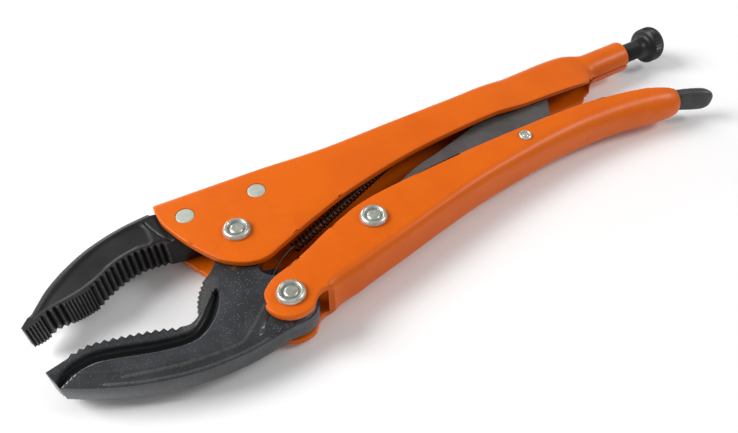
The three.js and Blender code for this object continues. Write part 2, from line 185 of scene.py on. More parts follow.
def slab(shape: Outline, half: float, middle: float = MID) -> bmesh.types.BMesh:
    """Stand an outline up into a flat slab.

    Args:
        shape: The outline in plan.
        half: Half of the slab's thickness.
        middle: The height of its middle.

    Returns:
        The slab as a closed mesh.
    """
    bm = bmesh.new()
    verts = [bm.verts.new((x, y, middle - half)) for x, y in shape]
    edges = [bm.edges.new((a, b)) for a, b in zip(verts, verts[1:] + verts[:1])]
    face = bmesh.ops.contextual_create(bm, geom=edges)["faces"][0]
    top = bmesh.ops.extrude_face_region(bm, geom=[face])["geom"]
    bmesh.ops.translate(bm, vec=(0, 0, 2 * half), verts=[v for v in top if isinstance(v, bmesh.types.BMVert)])
    bmesh.ops.recalc_face_normals(bm, faces=bm.faces)
    return bm


def drum(centre: Pair, radius: float, half: float, middle: float = MID, segments: int = 48) -> bmesh.types.BMesh:
    """An upright cylinder, for drilling holes."""
    bm = bmesh.new()
    place = Matrix.Translation((*centre, middle))
    bmesh.ops.create_cone(bm, cap_ends=True, segments=segments, radius1=radius, radius2=radius,
                          depth=2 * half, matrix=place)
    return bm


def spun(profile: Sequence[Pair], segments: int, place: Matrix) -> bmesh.types.BMesh:
    """Turn a profile round into a closed body.

    Args:
        profile: Points of [along, radius], from one end on the axis to the other.
        segments: How many steps the turn takes.
        place: Where the body goes; it is turned about the local Z axis.

    Returns:
        The body as a closed mesh.
    """
    bm = bmesh.new()
    verts = [bm.verts.new((radius, 0, along)) for along, radius in profile]
    edges = [bm.edges.new(pair) for pair in zip(verts, verts[1:])]
    bmesh.ops.spin(bm, geom=[*verts, *edges], cent=(0, 0, 0), axis=(0, 0, 1), angle=2 * math.pi,
                   steps=segments, use_merge=True)
    bmesh.ops.remove_doubles(bm, verts=bm.verts, dist=1e-4)
    bmesh.ops.recalc_face_normals(bm, faces=bm.faces)
    bmesh.ops.transform(bm, matrix=place, verts=bm.verts)
    return bm


def grown(rings: Sequence[Sequence[Vector]]) -> bmesh.types.BMesh:
    """Draw a ring of points out through further rings, and close both ends.

    Args:
        rings: Rings with equal numbers of points, one for each place along the body.

    Returns:
        The body as a closed mesh.
    """
    bm = bmesh.new()
    verts = [bm.verts.new(p) for p in rings[0]]
    edges = [bm.edges.new(pair) for pair in zip(verts, verts[1:] + verts[:1])]
    bmesh.ops.contextual_create(bm, geom=edges)
    for ring in rings[1:]:
        made = bmesh.ops.extrude_edge_only(bm, edges=edges)["geom"]
        edges = [g for g in made if isinstance(g, bmesh.types.BMEdge)]
        fresh = {g for g in made if isinstance(g, bmesh.types.BMVert)}
        verts = [next(e.other_vert(v) for e in v.link_edges if e.other_vert(v) in fresh) for v in verts]
        for vert, place in zip(verts, ring):
            vert.co = place
    bmesh.ops.contextual_create(bm, geom=edges)
    bmesh.ops.recalc_face_normals(bm, faces=bm.faces)
    return bm


def sharp_edges(bm: bmesh.types.BMesh, over: float) -> list[bmesh.types.BMEdge]:
    """The edges that turn by more than an angle in degrees."""
    limit = math.radians(over)
    return [e for e in bm.edges if len(e.link_faces) == 2 and e.calc_face_angle(0) > limit]


def soften(bm: bmesh.types.BMesh, width: float, segments: int = 3, over: float = 40) -> None:
    """Round every edge that turns by more than an angle."""
    bmesh.ops.bevel(bm, geom=sharp_edges(bm, over), offset=width, offset_type="OFFSET", affect="EDGES",
                    segments=segments, profile=0.5, material=-1, clamp_overlap=False)


def as_object(bm: bmesh.types.BMesh, name: str) -> bpy.types.Object:
    """Put a mesh into a scratch object, and free it."""
    mesh = bpy.data.meshes.new(name)
    bm.to_mesh(mesh)
    bm.free()
    made = bpy.data.objects.new(name, mesh)
    bpy.context.scene.collection.objects.link(made)
    return made


def with_modifiers(obj: bpy.types.Object) -> bmesh.types.BMesh:
    """The mesh that an object's modifiers leave, with the object removed."""
    bpy.context.view_layer.update()
    mesh = bpy.data.meshes.new_from_object(obj.evaluated_get(bpy.context.evaluated_depsgraph_get()))
    bm = bmesh.new()
    bm.from_mesh(mesh)
    bpy.data.meshes.remove(mesh)
    discard(obj)
    return bm


def discard(obj: bpy.types.Object) -> None:
    """Remove a scratch object and its mesh."""
    mesh = obj.data
    bpy.data.objects.remove(obj)
    bpy.data.meshes.remove(mesh)


class Joining(Enum):
    """How one body is worked into another."""

    CUT = "DIFFERENCE"
    ADD = "UNION"


def worked(bm: bmesh.types.BMesh, tools: Sequence[bmesh.types.BMesh], how: Joining) -> bmesh.types.BMesh:
    """Cut bodies out of a mesh, or add them to it.

    Args:
        bm: The body that is worked on.
        tools: The bodies that are cut out or added, in order.
        how: Which of the two it is.

    Returns:
        The new body; the ones that went in are freed.
    """
    body = as_object(bm, "body")
    cutters = [as_object(tool, "tool") for tool in tools]
    for cutter in cutters:
        modifier = body.modifiers.new("work", "BOOLEAN")
        modifier.operation = how.value
        modifier.solver = "EXACT"
        modifier.object = cutter
    made = with_modifiers(body)
    for cutter in cutters:
        discard(cutter)
    bmesh.ops.remove_doubles(made, verts=made.verts, dist=WELD)
    return made


def piece(name: str, bm: bmesh.types.BMesh, material: bpy.types.Material, smooth: float = 35,
          marks: dict[str, np.ndarray] | None = None) -> bpy.types.Object:
    """Finish a mesh as a named object in metres, at the origin.

    Args:
        name: The piece's name.
        bm: Its mesh in millimetres, which is freed.
        material: Its finish.
        smooth: The angle in degrees up to which edges shade smoothly.
        marks: Values for each point that its material reads, by name.

    Returns:
        The object.
    """
    bmesh.ops.scale(bm, vec=(MM, MM, MM), verts=bm.verts)
    mesh = bpy.data.meshes.new(name)
    bm.to_mesh(mesh)
    bm.free()
    mesh.shade_smooth()
    mesh.set_sharp_from_angle(angle=math.radians(smooth))
    for mark, values in (marks or {}).items():
        mesh.attributes.new(mark, "FLOAT", "POINT").data.foreach_set("value", values.astype(np.float32))
    mesh.materials.append(material)
    made = bpy.data.objects.new(name, mesh)
    bpy.context.scene.collection.objects.link(made)
    log.info("%s: %d faces", name, len(mesh.polygons))
    return made


def assign(obj: bpy.types.Object, body: str, node: str) -> None:
    """Let a piece ride on its body and stand for its CAD node."""
    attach(obj, body)
    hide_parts(node)


# ---- Shader building ----

@dataclass(frozen=True)
class Tree:
    """A node tree that is being wired up."""

    nodes: bpy.types.Nodes
    links: bpy.types.NodeLinks

    def add(self, kind: str, values: dict[str | int, object] | None = None, **settings: object) -> bpy.types.Node:
        """Add a node.

        Args:
            kind: The node's type.
            values: What its inputs hold or are linked to, by input name or number.
            **settings: The node's own properties.

        Returns:
            The node.
        """
        node = self.nodes.new(kind)
        for key, value in settings.items():
            setattr(node, key, value)
        for key, value in (values or {}).items():
            self.feed(node.inputs[key], value)
        return node

    def feed(self, socket: bpy.types.NodeSocket, value: object) -> None:
        """Link an output into a socket, or set the socket's own value."""
        if isinstance(value, bpy.types.NodeSocket):
            self.links.new(value, socket)
        elif socket.type == "RGBA":
            socket.default_value = (*value, 1.0)
        else:
            socket.default_value = value

    def noise(self, where: object, scale: object, detail: float = 2.0, rough: float = 0.5) -> bpy.types.NodeSocket:
        """Noise from 0 to 1."""
        return self.add("ShaderNodeTexNoise", {"Vector": where, "Scale": scale, "Detail": detail,
                                               "Roughness": rough}).outputs["Fac"]

    def window(self, value: object, low: object, high: object) -> bpy.types.NodeSocket:
        """0 up to low, 1 from high, and a smooth step between them."""
        return self.add("ShaderNodeMapRange", {"Value": value, "From Min": low, "From Max": high},
                        interpolation_type="SMOOTHSTEP").outputs["Result"]

    def maths(self, operation: str, a: object, b: object = 0.0) -> bpy.types.NodeSocket:
        """One sum on two values."""
        return self.add("ShaderNodeMath", {0: a, 1: b}, operation=operation).outputs[0]

    def mix(self, share: object, a: object, b: object) -> bpy.types.NodeSocket:
        """A colour between a and b."""
        node = self.add("ShaderNodeMix", data_type="RGBA")
        self.feed(node.inputs[0], share)
        self.feed(node.inputs[6], a)
        self.feed(node.inputs[7], b)
        return node.outputs[2]

    def blend(self, share: object, a: object, b: object) -> bpy.types.NodeSocket:
        """A number between a and b."""
        node = self.add("ShaderNodeMix", data_type="FLOAT")
        self.feed(node.inputs[0], share)
        self.feed(node.inputs[2], a)
        self.feed(node.inputs[3], b)
        return node.outputs[0]

    def mark(self, name: str) -> bpy.types.NodeSocket:
        """A value that the mesh holds at each point."""
        return self.add("ShaderNodeAttribute", attribute_name=name).outputs["Fac"]


def srgb(red: float, green: float, blue: float) -> tuple[float, float, float]:
    """A colour from its 0 to 255 values as the screen shows them."""
    parts = [c / 255 for c in (red, green, blue)]
    return tuple(c / 12.92 if c <= 0.04045 else ((c + 0.055) / 1.055) ** 2.4 for c in parts)


class Effects:
    """Node groups that several finishes use, each built once."""

    def __init__(self) -> None:
        """Build the groups."""
        self.skin = self._skin()
        self.blotches = self._blotches()
        self.specks = self._specks()
        self.spot = self._spot()

    @staticmethod
    def _group(name: str, inputs: Sequence[tuple[str, str, float]],
               outputs: Sequence[str]) -> tuple[bpy.types.NodeTree, Tree, bpy.types.Node, bpy.types.Node]:
        """Start a group with named sockets.

        Args:
            name: The group's name.
            inputs: The name, kind and default of each input.
            outputs: The names of the value outputs.

        Returns:
            The group, its tree, and its input and output nodes.
        """
        group = bpy.data.node_groups.new(name, "ShaderNodeTree")
        for title, kind, default in inputs:
            socket = group.interface.new_socket(title, in_out="INPUT", socket_type=kind)
            if kind == "NodeSocketFloat":
                socket.default_value = default
        for title in outputs:
            group.interface.new_socket(title, in_out="OUTPUT", socket_type="NodeSocketFloat")
        tree = Tree(group.nodes, group.links)
        return group, tree, tree.add("NodeGroupInput"), tree.add("NodeGroupOutput")

    def _skin(self) -> bpy.types.NodeTree:
        """A fine orange-peel or cast surface, as a height from two sizes of noise."""
        group, tree, start, end = self._group(
            "surface_skin", [("Vector", "NodeSocketVector", 0), ("Scale", "NodeSocketFloat", 900),
                             ("Fine", "NodeSocketFloat", 0.3)], ["Height"])
        broad = tree.noise(start.outputs["Vector"], start.outputs["Scale"], 1.0)
        finer = tree.maths("MULTIPLY", start.outputs["Scale"], 3.7)
        fine = tree.noise(start.outputs["Vector"], finer, 2.0)
        tree.feed(end.inputs["Height"], tree.blend(start.outputs["Fine"], broad, fine))
        return group

    def _blotches(self) -> bpy.types.NodeTree:
        """Wide soft patches, as a mask."""
        group, tree, start, end = self._group(
            "soft_patches", [("Vector", "NodeSocketVector", 0), ("Scale", "NodeSocketFloat", 40),
                             ("From", "NodeSocketFloat", 0.4), ("To", "NodeSocketFloat", 0.65)], ["Mask"])
        cloud = tree.noise(start.outputs["Vector"], start.outputs["Scale"], 3.0, 0.6)
        tree.feed(end.inputs["Mask"], tree.window(cloud, start.outputs["From"], start.outputs["To"]))
        return group

    def _specks(self) -> bpy.types.NodeTree:
        """Scattered small specks, as a mask."""
        group, tree, start, end = self._group(
            "specks", [("Vector", "NodeSocketVector", 0), ("Scale", "NodeSocketFloat", 900),
                       ("Size", "NodeSocketFloat", 0.25), ("Share", "NodeSocketFloat", 0.4)], ["Mask"])
        cells = tree.add("ShaderNodeTexVoronoi", {"Vector": start.outputs["Vector"],
                                                  "Scale": start.outputs["Scale"]})
        near = tree.window(cells.outputs["Distance"], start.outputs["Size"], 0.0)
        pick = tree.add("ShaderNodeSeparateColor", {0: cells.outputs["Color"]}).outputs[0]
        chosen = tree.maths("LESS_THAN", pick, start.outputs["Share"])
        tree.feed(end.inputs["Mask"], tree.maths("MULTIPLY", near, chosen))
        return group

    def _spot(self) -> bpy.types.NodeTree:
        """A ragged stain about one place, as a mask."""
        group, tree, start, end = self._group(
            "ragged_spot", [("Vector", "NodeSocketVector", 0), ("Centre", "NodeSocketVector", 0),
                            ("Radius", "NodeSocketFloat", 0.004), ("Ragged", "NodeSocketFloat", 0.004)], ["Mask"])
        away = tree.add("ShaderNodeVectorMath", {0: start.outputs["Vector"], 1: start.outputs["Centre"]},
                        operation="DISTANCE").outputs["Value"]
        shift = tree.maths("MULTIPLY", tree.noise(start.outputs["Vector"], 900.0, 4.0, 0.7),
                           start.outputs["Ragged"])
        tree.feed(end.inputs["Mask"], tree.window(tree.maths("ADD", away, shift), start.outputs["Radius"], 0.0))
        return group

    def use(self, tree: Tree, group: bpy.types.NodeTree, values: dict[str, object]) -> bpy.types.NodeSocket:
        """Place a group in a material with its own values."""
        node = tree.add("ShaderNodeGroup", node_tree=group)
        for key, value in values.items():
            tree.feed(node.inputs[key], value)
        return node.outputs[0]


def begin(name: str) -> tuple[bpy.types.Material, Tree, bpy.types.Node, bpy.types.NodeSocket]:
    """Start a material.

    Args:
        name: The material's name.

    Returns:
        The material, its tree, its Principled shader and the object coordinates.
    """
    material = bpy.data.materials.new(name)
    material.use_nodes = True
    tree = Tree(material.node_tree.nodes, material.node_tree.links)
    shader = next(n for n in tree.nodes if n.type == "BSDF_PRINCIPLED")
    return material, tree, shader, tree.add("ShaderNodeTexCoord").outputs["Object"]


def bump(tree: Tree, shader: bpy.types.Node, height: bpy.types.NodeSocket, depth: float) -> None:
    """Raise a shader's surface by a height, `depth` metres high."""
    node = tree.add("ShaderNodeBump", {"Height": height, "Strength": 1.0, "Distance": depth})
    tree.feed(shader.inputs["Normal"], node.outputs["Normal"])


@dataclass(frozen=True)
class PowderCoat:
    """The semi-gloss orange coat on the pressed handles."""

    colour: tuple[float, float, float] = srgb(222, 101, 3)
    deep: tuple[float, float, float] = srgb(208, 88, 2)
    roughness: float = 0.36
    peel_scale: float = 900.0
    peel_depth: float = 0.000012

    def build(self, effects: Effects) -> bpy.types.Material:
        """Make the material."""
        material, tree, shader, where = begin("orange_powder_coat")
        patches = effects.use(tree, effects.blotches, {"Vector": where, "Scale": 38.0, "From": 0.35, "To": 0.7})
        mottle = effects.use(tree, effects.blotches, {"Vector": where, "Scale": 420.0, "From": 0.3, "To": 0.75})
        colour = tree.mix(tree.maths("MULTIPLY", patches, 0.5), self.colour, self.deep)
        colour = tree.mix(tree.maths("MULTIPLY", mottle, 0.22), colour, self.deep)
        tree.feed(shader.inputs["Base Color"], colour)
        tree.feed(shader.inputs["Roughness"], tree.blend(patches, self.roughness, self.roughness + 0.08))
        shader.inputs["Specular IOR Level"].default_value = 0.2
        shader.inputs["Coat Weight"].default_value = 0.06
        shader.inputs["Coat Roughness"].default_value = 0.18
        height = effects.use(tree, effects.skin, {"Vector": where, "Scale": self.peel_scale, "Fine": 0.35})
        bump(tree, shader, height, self.peel_depth)
        return material


@dataclass(frozen=True)
class Forging:
    """Black-finished drop forging, from satin to speckled gloss, with worn bare steel and painted highlights on its
    crests and ribs, painted shade in its hollows and painted glint specks.
    """

    name: str
    colour: tuple[float, float, float]
    sheen: tuple[float, float, float]
    roughness: float
    speckle: float
    skin_depth: float
    stain: Pair | None = None

    def build(self, effects: Effects) -> bpy.types.Material:
        """Make the material; the mesh holds the marks for worn crests with painted highlights, for painted shade in
        hollows, and for rough fields.
        """
        material, tree, shader, where = begin(self.name)
        wear_and_highlight, hollow_shade, rough = tree.mark("wear_and_highlight"), tree.mark("hollow_shade"), tree.mark("rough")
        patches = effects.use(tree, effects.blotches, {"Vector": where, "Scale": 60.0, "From": 0.35, "To": 0.7})
        colour = tree.mix(patches, self.colour, self.sheen)
        # Painted glints: light grey specks in the base colour, more of them on glossy finishes and rough fields.
        dots = effects.use(tree, effects.specks, {"Vector": where, "Scale": 1500.0, "Size": 0.36, "Share": 0.5})
        painted_glints = tree.maths("MULTIPLY", dots, tree.maths("ADD", tree.maths("MULTIPLY", rough, 0.8), self.speckle))
        colour = tree.mix(tree.maths("MULTIPLY", painted_glints, 0.75), colour, srgb(176, 178, 178))
        # Worn bare steel on tooth crests, and painted highlights on the ribs, the back chamfer and beside the teeth,
        # broken up by noise.
        broken = tree.window(tree.noise(where, 1300.0, 3.0, 0.65), 0.35, 0.62)
        worn_and_highlight = tree.maths("MULTIPLY", wear_and_highlight, tree.blend(broken, 0.35, 1.0))
        colour = tree.mix(worn_and_highlight, colour, srgb(118, 116, 112))
        # Painted shade: near black in grooves and in the gaps between teeth.
        colour = tree.mix(hollow_shade, colour, srgb(14, 13, 14))
        if self.stain:
            spot = effects.use(tree, effects.spot, {"Vector": where, "Radius": 0.0062, "Ragged": 0.008,
                                                    "Centre": (self.stain[0] * MM, self.stain[1] * MM,
                                                               (MID + JAW_HALF) * MM)})
            colour = tree.mix(tree.maths("MULTIPLY", spot, 0.9), colour, srgb(168, 112, 38))
        tree.feed(shader.inputs["Base Color"], colour)
        gloss = tree.blend(patches, self.roughness, self.roughness + 0.1)
        gloss = tree.blend(tree.maths("MULTIPLY", hollow_shade, 0.6), gloss, 0.5)
        tree.feed(shader.inputs["Roughness"], gloss)
        tree.feed(shader.inputs["Metallic"], tree.blend(worn_and_highlight, 0.25, 0.8))
        tree.feed(shader.inputs["Specular IOR Level"], tree.blend(hollow_shade, 0.24 + 0.5 * self.speckle, 0.05))
        tree.feed(shader.inputs["Coat Weight"], tree.blend(hollow_shade, self.speckle, 0.0))
        shader.inputs["Coat Roughness"].default_value = 0.2
        height = effects.use(tree, effects.skin, {"Vector": where, "Scale": 800.0, "Fine": 0.4})
        extra = tree.maths("MULTIPLY", height, tree.maths("ADD", tree.maths("MULTIPLY", rough, 1.6), 1.0))
        bump(tree, shader, extra, self.skin_depth)
        return material


@dataclass(frozen=True)
class Steel:
    """Plain steel parts: plated rivets, blackened links and screws, spring wire."""

    name: str
    colour: tuple[float, float, float]
    dark: tuple[float, float, float]
    metallic: float
    roughness: float
    grain_scale: float = 900.0
    grain_depth: float = 0.00001
    patch_scale: float = 90.0
    marked: bool = False

    def build(self, effects: Effects) -> bpy.types.Material:
        """Make the material; where `marked`, the mesh holds a mark for painted shade in hollows."""
        material, tree, shader, where = begin(self.name)
        patches = effects.use(tree, effects.blotches, {"Vector": where, "Scale": self.patch_scale,
                                                       "From": 0.35, "To": 0.7})
        colour = tree.mix(patches, self.colour, self.dark)
        dots = effects.use(tree, effects.specks, {"Vector": where, "Scale": 1400.0, "Size": 0.3, "Share": 0.2})
        colour = tree.mix(tree.maths("MULTIPLY", dots, 0.35), colour, self.dark)
        roughness = tree.blend(patches, self.roughness, self.roughness + 0.12)
        # Painted shade: the marked hollows are darkened and roughened.
        if self.marked:
            hollow_shade = tree.mark("hollow_shade")
            colour = tree.mix(hollow_shade, colour, tuple(0.35 * c for c in self.dark))
            roughness = tree.blend(hollow_shade, roughness, 0.6)
        tree.feed(shader.inputs["Base Color"], colour)
        tree.feed(shader.inputs["Roughness"], roughness)
        shader.inputs["Metallic"].default_value = self.metallic
        height = effects.use(tree, effects.skin, {"Vector": where, "Scale": self.grain_scale, "Fine": 0.5})
        bump(tree, shader, height, self.grain_depth)
        return material


@dataclass(frozen=True)
class Finishes:
    """Every finish of the tool."""

    coat: bpy.types.Material
    satin_forging: bpy.types.Material
    gloss_forging: bpy.types.Material
    zinc: bpy.types.Material
    flush_zinc: bpy.types.Material
    link_steel: bpy.types.Material
    lever_steel: bpy.types.Material
    screw_black: bpy.types.Material
    spring_wire: bpy.types.Material

    @classmethod
    def mixed(cls) -> "Finishes":
        """Build them all."""
        effects = Effects()
        return cls(
            coat=PowderCoat().build(effects),
            satin_forging=Forging("satin_forging", srgb(29, 29, 30), srgb(37, 37, 38), 0.4, 0.05,
                                  0.00001).build(effects),
            gloss_forging=Forging("gloss_forging", srgb(44, 46, 49), srgb(60, 63, 67), 0.27, 0.35, 0.000024,
                                  stain=(-6.5, -13.4)).build(effects),
            zinc=Steel("zinc_plate", srgb(222, 225, 216), srgb(172, 173, 162), 0.75, 0.27, 1300.0, 0.00003,
                       260.0, marked=True).build(effects),
            flush_zinc=Steel("flush_zinc", srgb(196, 201, 190), srgb(178, 183, 170), 0.35, 0.45, 900.0, 0.00001,
                             300.0).build(effects),
            link_steel=Steel("link_steel", srgb(92, 90, 89), srgb(78, 76, 75), 0.25, 0.5).build(effects),
            lever_steel=Steel("lever_steel", srgb(66, 66, 67), srgb(56, 56, 57), 0.2, 0.45).build(effects),
            screw_black=Steel("screw_black", srgb(34, 34, 36), srgb(28, 28, 30), 0.3, 0.36).build(effects),
            spring_wire=Steel("spring_wire", srgb(96, 84, 70), srgb(62, 54, 46), 0.8, 0.35).build(effects),
        )


# ---- Pressed handles ----

@dataclass(frozen=True)
class Section:
    """A channel's section at one place along the handle."""

    x: float
    back: float
    edge: float
    half: float = PLATE_HALF
    bend: float = 4.0
    wall: float = 2.8
    curl: float = 0.0

    def values(self) -> list[float]:
        """All of its sizes, for drawing sections between two of them."""
        return [self.x, self.back, self.edge, self.half, self.bend, self.wall, self.curl]


@dataclass
class Channel:
    """A handle pressed from sheet: a channel that may close into a tube at its end."""

    sections: Sequence[Section]
    spacing: float = 2.2
    tube_radius: float = 7.3
    seam_half: float = 0.35
    bend_steps: int = 8
    leg_steps: int = 4
    rim: float = 0.55

    def between(self) -> list[Section]:
        """Sections at even steps, on smooth lines through the given ones."""
        table = np.array([s.values() for s in self.sections])
        slopes = np.gradient(table, table[:, 0], axis=0)
        inner = np.diff(table, axis=0) / np.diff(table[:, 0])[:, None]
        for column in range(1, table.shape[1]):  # no smooth line goes past the values it joins
            for i in range(len(table)):
                near = inner[max(i - 1, 0):i + 1, column]
                flat = near.min() <= 0 <= near.max()
                cap = 0.0 if flat else 2.5 * np.abs(near).min()
                slopes[i, column] = np.clip(slopes[i, column], -cap, cap)
        made = []
        for i in range(len(table) - 1):
            a, b, width = table[i], table[i + 1], table[i + 1, 0] - table[i, 0]
            count = max(1, round(width / self.spacing))
            for k in range(count):
                t = k / count
                made.append(a * (1 + 2 * t) * (1 - t) ** 2 + b * t * t * (3 - 2 * t)
                            + slopes[i] * width * t * (1 - t) ** 2 - slopes[i + 1] * width * t * t * (1 - t))
                made[-1][0] = a[0] + width * t
        made.append(table[-1])
        return [Section(*row) for row in made]

    def wall_line(self, s: Section, inset: float) -> list[Vector]:
        """One wall line of a section, from one leg's end round the back to the other's.

        Args:
            s: The section.
            inset: How far inside the outer surface the line runs.

        Returns:
            The line's points.
        """
        up = math.copysign(1, s.back - s.edge)
        back, half, bend = s.back - up * inset, s.half - inset, max(s.bend - inset, 0.6)
        legs = [(half, s.edge + (back - up * bend - s.edge) * i / self.leg_steps) for i in range(self.leg_steps)]
        for i in range(self.bend_steps + 1):
            turn = math.pi / 2 * i / self.bend_steps
            legs.append((half - bend + bend * math.cos(turn), back - up * bend + up * bend * math.sin(turn)))
        both = [(z, y) for z, y in legs] + [(-z, y) for z, y in reversed(legs)]
        if s.curl > 0:
            radius = self.tube_radius - inset
            middle = SCREW_CONTACT[1] + (s.x - SCREW_CONTACT[0]) * math.tan(SCREW_SLOPE)
            seam = math.asin(self.seam_half / radius)
            for k, (z, y) in enumerate(both):
                angle = -math.pi / 2 + seam + (2 * math.pi - 2 * seam) * k / (len(both) - 1)
                both[k] = (z + (radius * math.cos(angle) - z) * s.curl,
                           y + (middle + radius * math.sin(angle) - y) * s.curl)
        return [Vector((s.x, y, MID + z)) for z, y in both]

    def pressed(self, trims: Sequence[Outline], holes: Sequence[tuple[Pair, float]]) -> bmesh.types.BMesh:
        """Press the channel, trim its plates, round its rims and drill it.

        Args:
            trims: Outlines of what is cut away, seen from the side.
            holes: The place and radius of each hole.

        Returns:
            The handle's mesh.
        """
        bm = grown([self.wall_line(s, 0) + self.wall_line(s, s.wall)[::-1] for s in self.between()])
        bm = worked(bm, [slab(trim, 30) for trim in trims], Joining.CUT)
        soften(bm, self.rim, 3, 50)
        return worked(bm, [drum(place, radius, 30) for place, radius in holes], Joining.CUT)


@dataclass
class FixedHandle:
    """The long upper handle: riveted to the fixed jaw in front, and a threaded tube behind."""

    finishes: Finishes

    def channel(self) -> Channel:
        """Its sections from front to rear."""
        return Channel([
            Section(-30, 28.7, -22), Section(20, 28.6, -22), Section(34, 28.0, -16), Section(48, 27.7, -6),
            Section(62, 28.3, 0), Section(78, 29.2, 3), Section(97, 30.0, 6), Section(122, 31.3, 8),
            Section(132, 32.3, 8, 8.8, 4.8), Section(141, 33.3, 8, 8.0, 5.8, 2.6),
            Section(152, 34.5, 8, 7.8, 6.4, 2.5), Section(163, 35.6, 8, 7.7, 6.8, 2.4),
            Section(171, 36.2, 8.2, 7.6, 7.0, 2.1, 0.04), Section(177, 36.4, 9, 7.5, 7.0, 2.1, 0.14),
            Section(181, 36.2, 11, 7.4, 7.0, 2.1, 0.38), Section(184.5, 35.6, 14, 7.4, 7.0, 2.1, 0.8),
            Section(188, 34, 16, 7.4, 7.0, 2.1, 1.0), Section(208.5, 33, 16, 7.4, 7.0, 2.1, 1.0)])

    def trim(self) -> Outline:
        """What is cut away in front of and below its plates."""
        return outline(
            (-70, 70), Line([(-24.3, 70), (-24.3, 22)]),
            Smooth([(-23.3, 15.3), (-18, 2.8), (-11.3, -8.3), (-6.5, -12.9), (-1.7, -15.6), (2.5, -16.7)]),
            Smooth([(6.5, -16.2), (11.7, -14), (29, -6.8), (48.2, -0.1), (77, 6.6), (105.8, 10.3), (125, 11.6)]),
            Smooth([(134.6, 11.2), (153.8, 11.5), (172, 11.3)]), Smooth([(176.5, 11.8), (178.4, 14)]),
            Line([(183, 14.8), (183, -70), (-70, -70)]))

    def lug(self) -> bmesh.types.BMesh:
        """The lug under its back that holds the spring's rear hook."""
        x, y = SPRING_LUG
        shape = outline((x - 2.6, 27.5), Arc((x, y + 2.2), 2.6, 180, 360), Line([(x + 2.6, 27.5)]))
        return worked(slab(shape, 2.0), [drum((x, y + 2.2), 1.3, 10)], Joining.CUT)

    def build(self) -> None:
        """Make the handle."""
        holes = [(JAW_PIVOT, SHANK + CLEAR), (FRONT_RIVET, FLUSH + 0.12), (REAR_RIVET, FLUSH + 0.12)]
        bm = self.channel().pressed([self.trim()], holes)
        bm = worked(bm, [self.lug()], Joining.ADD)
        assign(piece("fixed_handle_shell", bm, self.finishes.coat), "root", "fixed_handle")


@dataclass
class LowerHandle:
    """The lower handle, which carries the link and the release lever."""

    finishes: Finishes

    def channel(self) -> Channel:
        """Its sections from front to rear."""
        return Channel([
            Section(-8, -56, -20), Section(13, -56, -14), Section(19.5, -40.4, -12), Section(34, -35.9, -8),
            Section(55, -30.6, -3), Section(76, -25.2, 0), Section(97, -20.5, 1, bend=4.6),
            Section(118, -17.3, 2, bend=5.4), Section(138, -14.9, 2, bend=6.2), Section(159, -13.9, 2, bend=7.0),
            Section(180, -15.0, 1, bend=7.8), Section(192, -16.8, 0, 9.0, 8.4, 2.6),
            Section(199, -17.9, -2, 8.7, 8.4, 2.4), Section(203.5, -18.2, -3, 8.1, 7.9, 2.0),
            Section(206.5, -17.8, -4, 7.3, 7.1, 1.2)])

    def trims(self) -> list[Outline]:
        """What is cut away above its plates and in front of its web."""
        above = outline(
            (-20, -35.6), Line([(-2.4, -35.6)]),
            Smooth([(-1.7, -30.8), (3.1, -26.5), (9.8, -24.1), (19.4, -20.2), (29, -15.5), (43.4, -9.8)]),
            Smooth([(57.8, -6.9), (96.2, -3.3), (134.6, -1.6), (160, -1.5), (178, -3.4), (191, -5.8),
                    (200, -8.6), (208, -12)]),
            Line([(240, -12), (240, 40), (-20, 40)]))
        below = outline(
            (-20, -35.6), Line([(-20, -80), (21.6, -80), (21.6, -40.4)]),
            Smooth([(20.4, -39.2), (18, -38.6), (15.6, -39.2), (13.7, -40.8), (11.8, -43)]),
            Arc((HANDLE_PIVOT[0], HANDLE_PIVOT[1] + 0.4), 9.8, -58, -180))
        return [above, below]

    def build(self) -> None:
        """Make the handle."""
        holes = [(HANDLE_PIVOT, SHANK + CLEAR), (LINK_PIVOT, SHANK + CLEAR), (LEVER_PIVOT, SMALL_SHANK + CLEAR)]
        bm = self.channel().pressed(self.trims(), holes)
        assign(piece("lower_handle_shell", bm, self.finishes.coat), "lower_handle", "lower_handle")


# ---- Jaws ----

def along_line(line: Sequence[Pair], x: np.ndarray, y: np.ndarray) -> tuple[np.ndarray, np.ndarray, float]:
    """Measure points against a smooth line.

    Args:
        line: The places that the line passes through.
        x: The points' places along the tool.
        y: The points' places across it.

    Returns:
        How far each point is from the line, how far along it its nearest place is, and the line's length.
    """
    path = np.array(smooth_run(line, 6))
    away, along, total = np.full(len(x), 1e9), np.zeros(len(x)), 0.0
    for a, b in zip(path[:-1], path[1:]):
        step = b - a
        length = float(np.hypot(*step))
        t = np.clip(((x - a[0]) * step[0] + (y - a[1]) * step[1]) / length ** 2, 0, 1)
        d = np.hypot(x - a[0] - t * step[0], y - a[1] - t * step[1])
        nearer = d < away
        away[nearer] = d[nearer]
        along[nearer] = total + t[nearer] * length
        total += length
    return away, along, total


class Profile(Enum):
    """The cross-section of a feature forged into a jaw's face."""

    ROUND = "round"        # rises or falls softly to its line
    FLAT = "flat"          # a channel or rib with a level middle


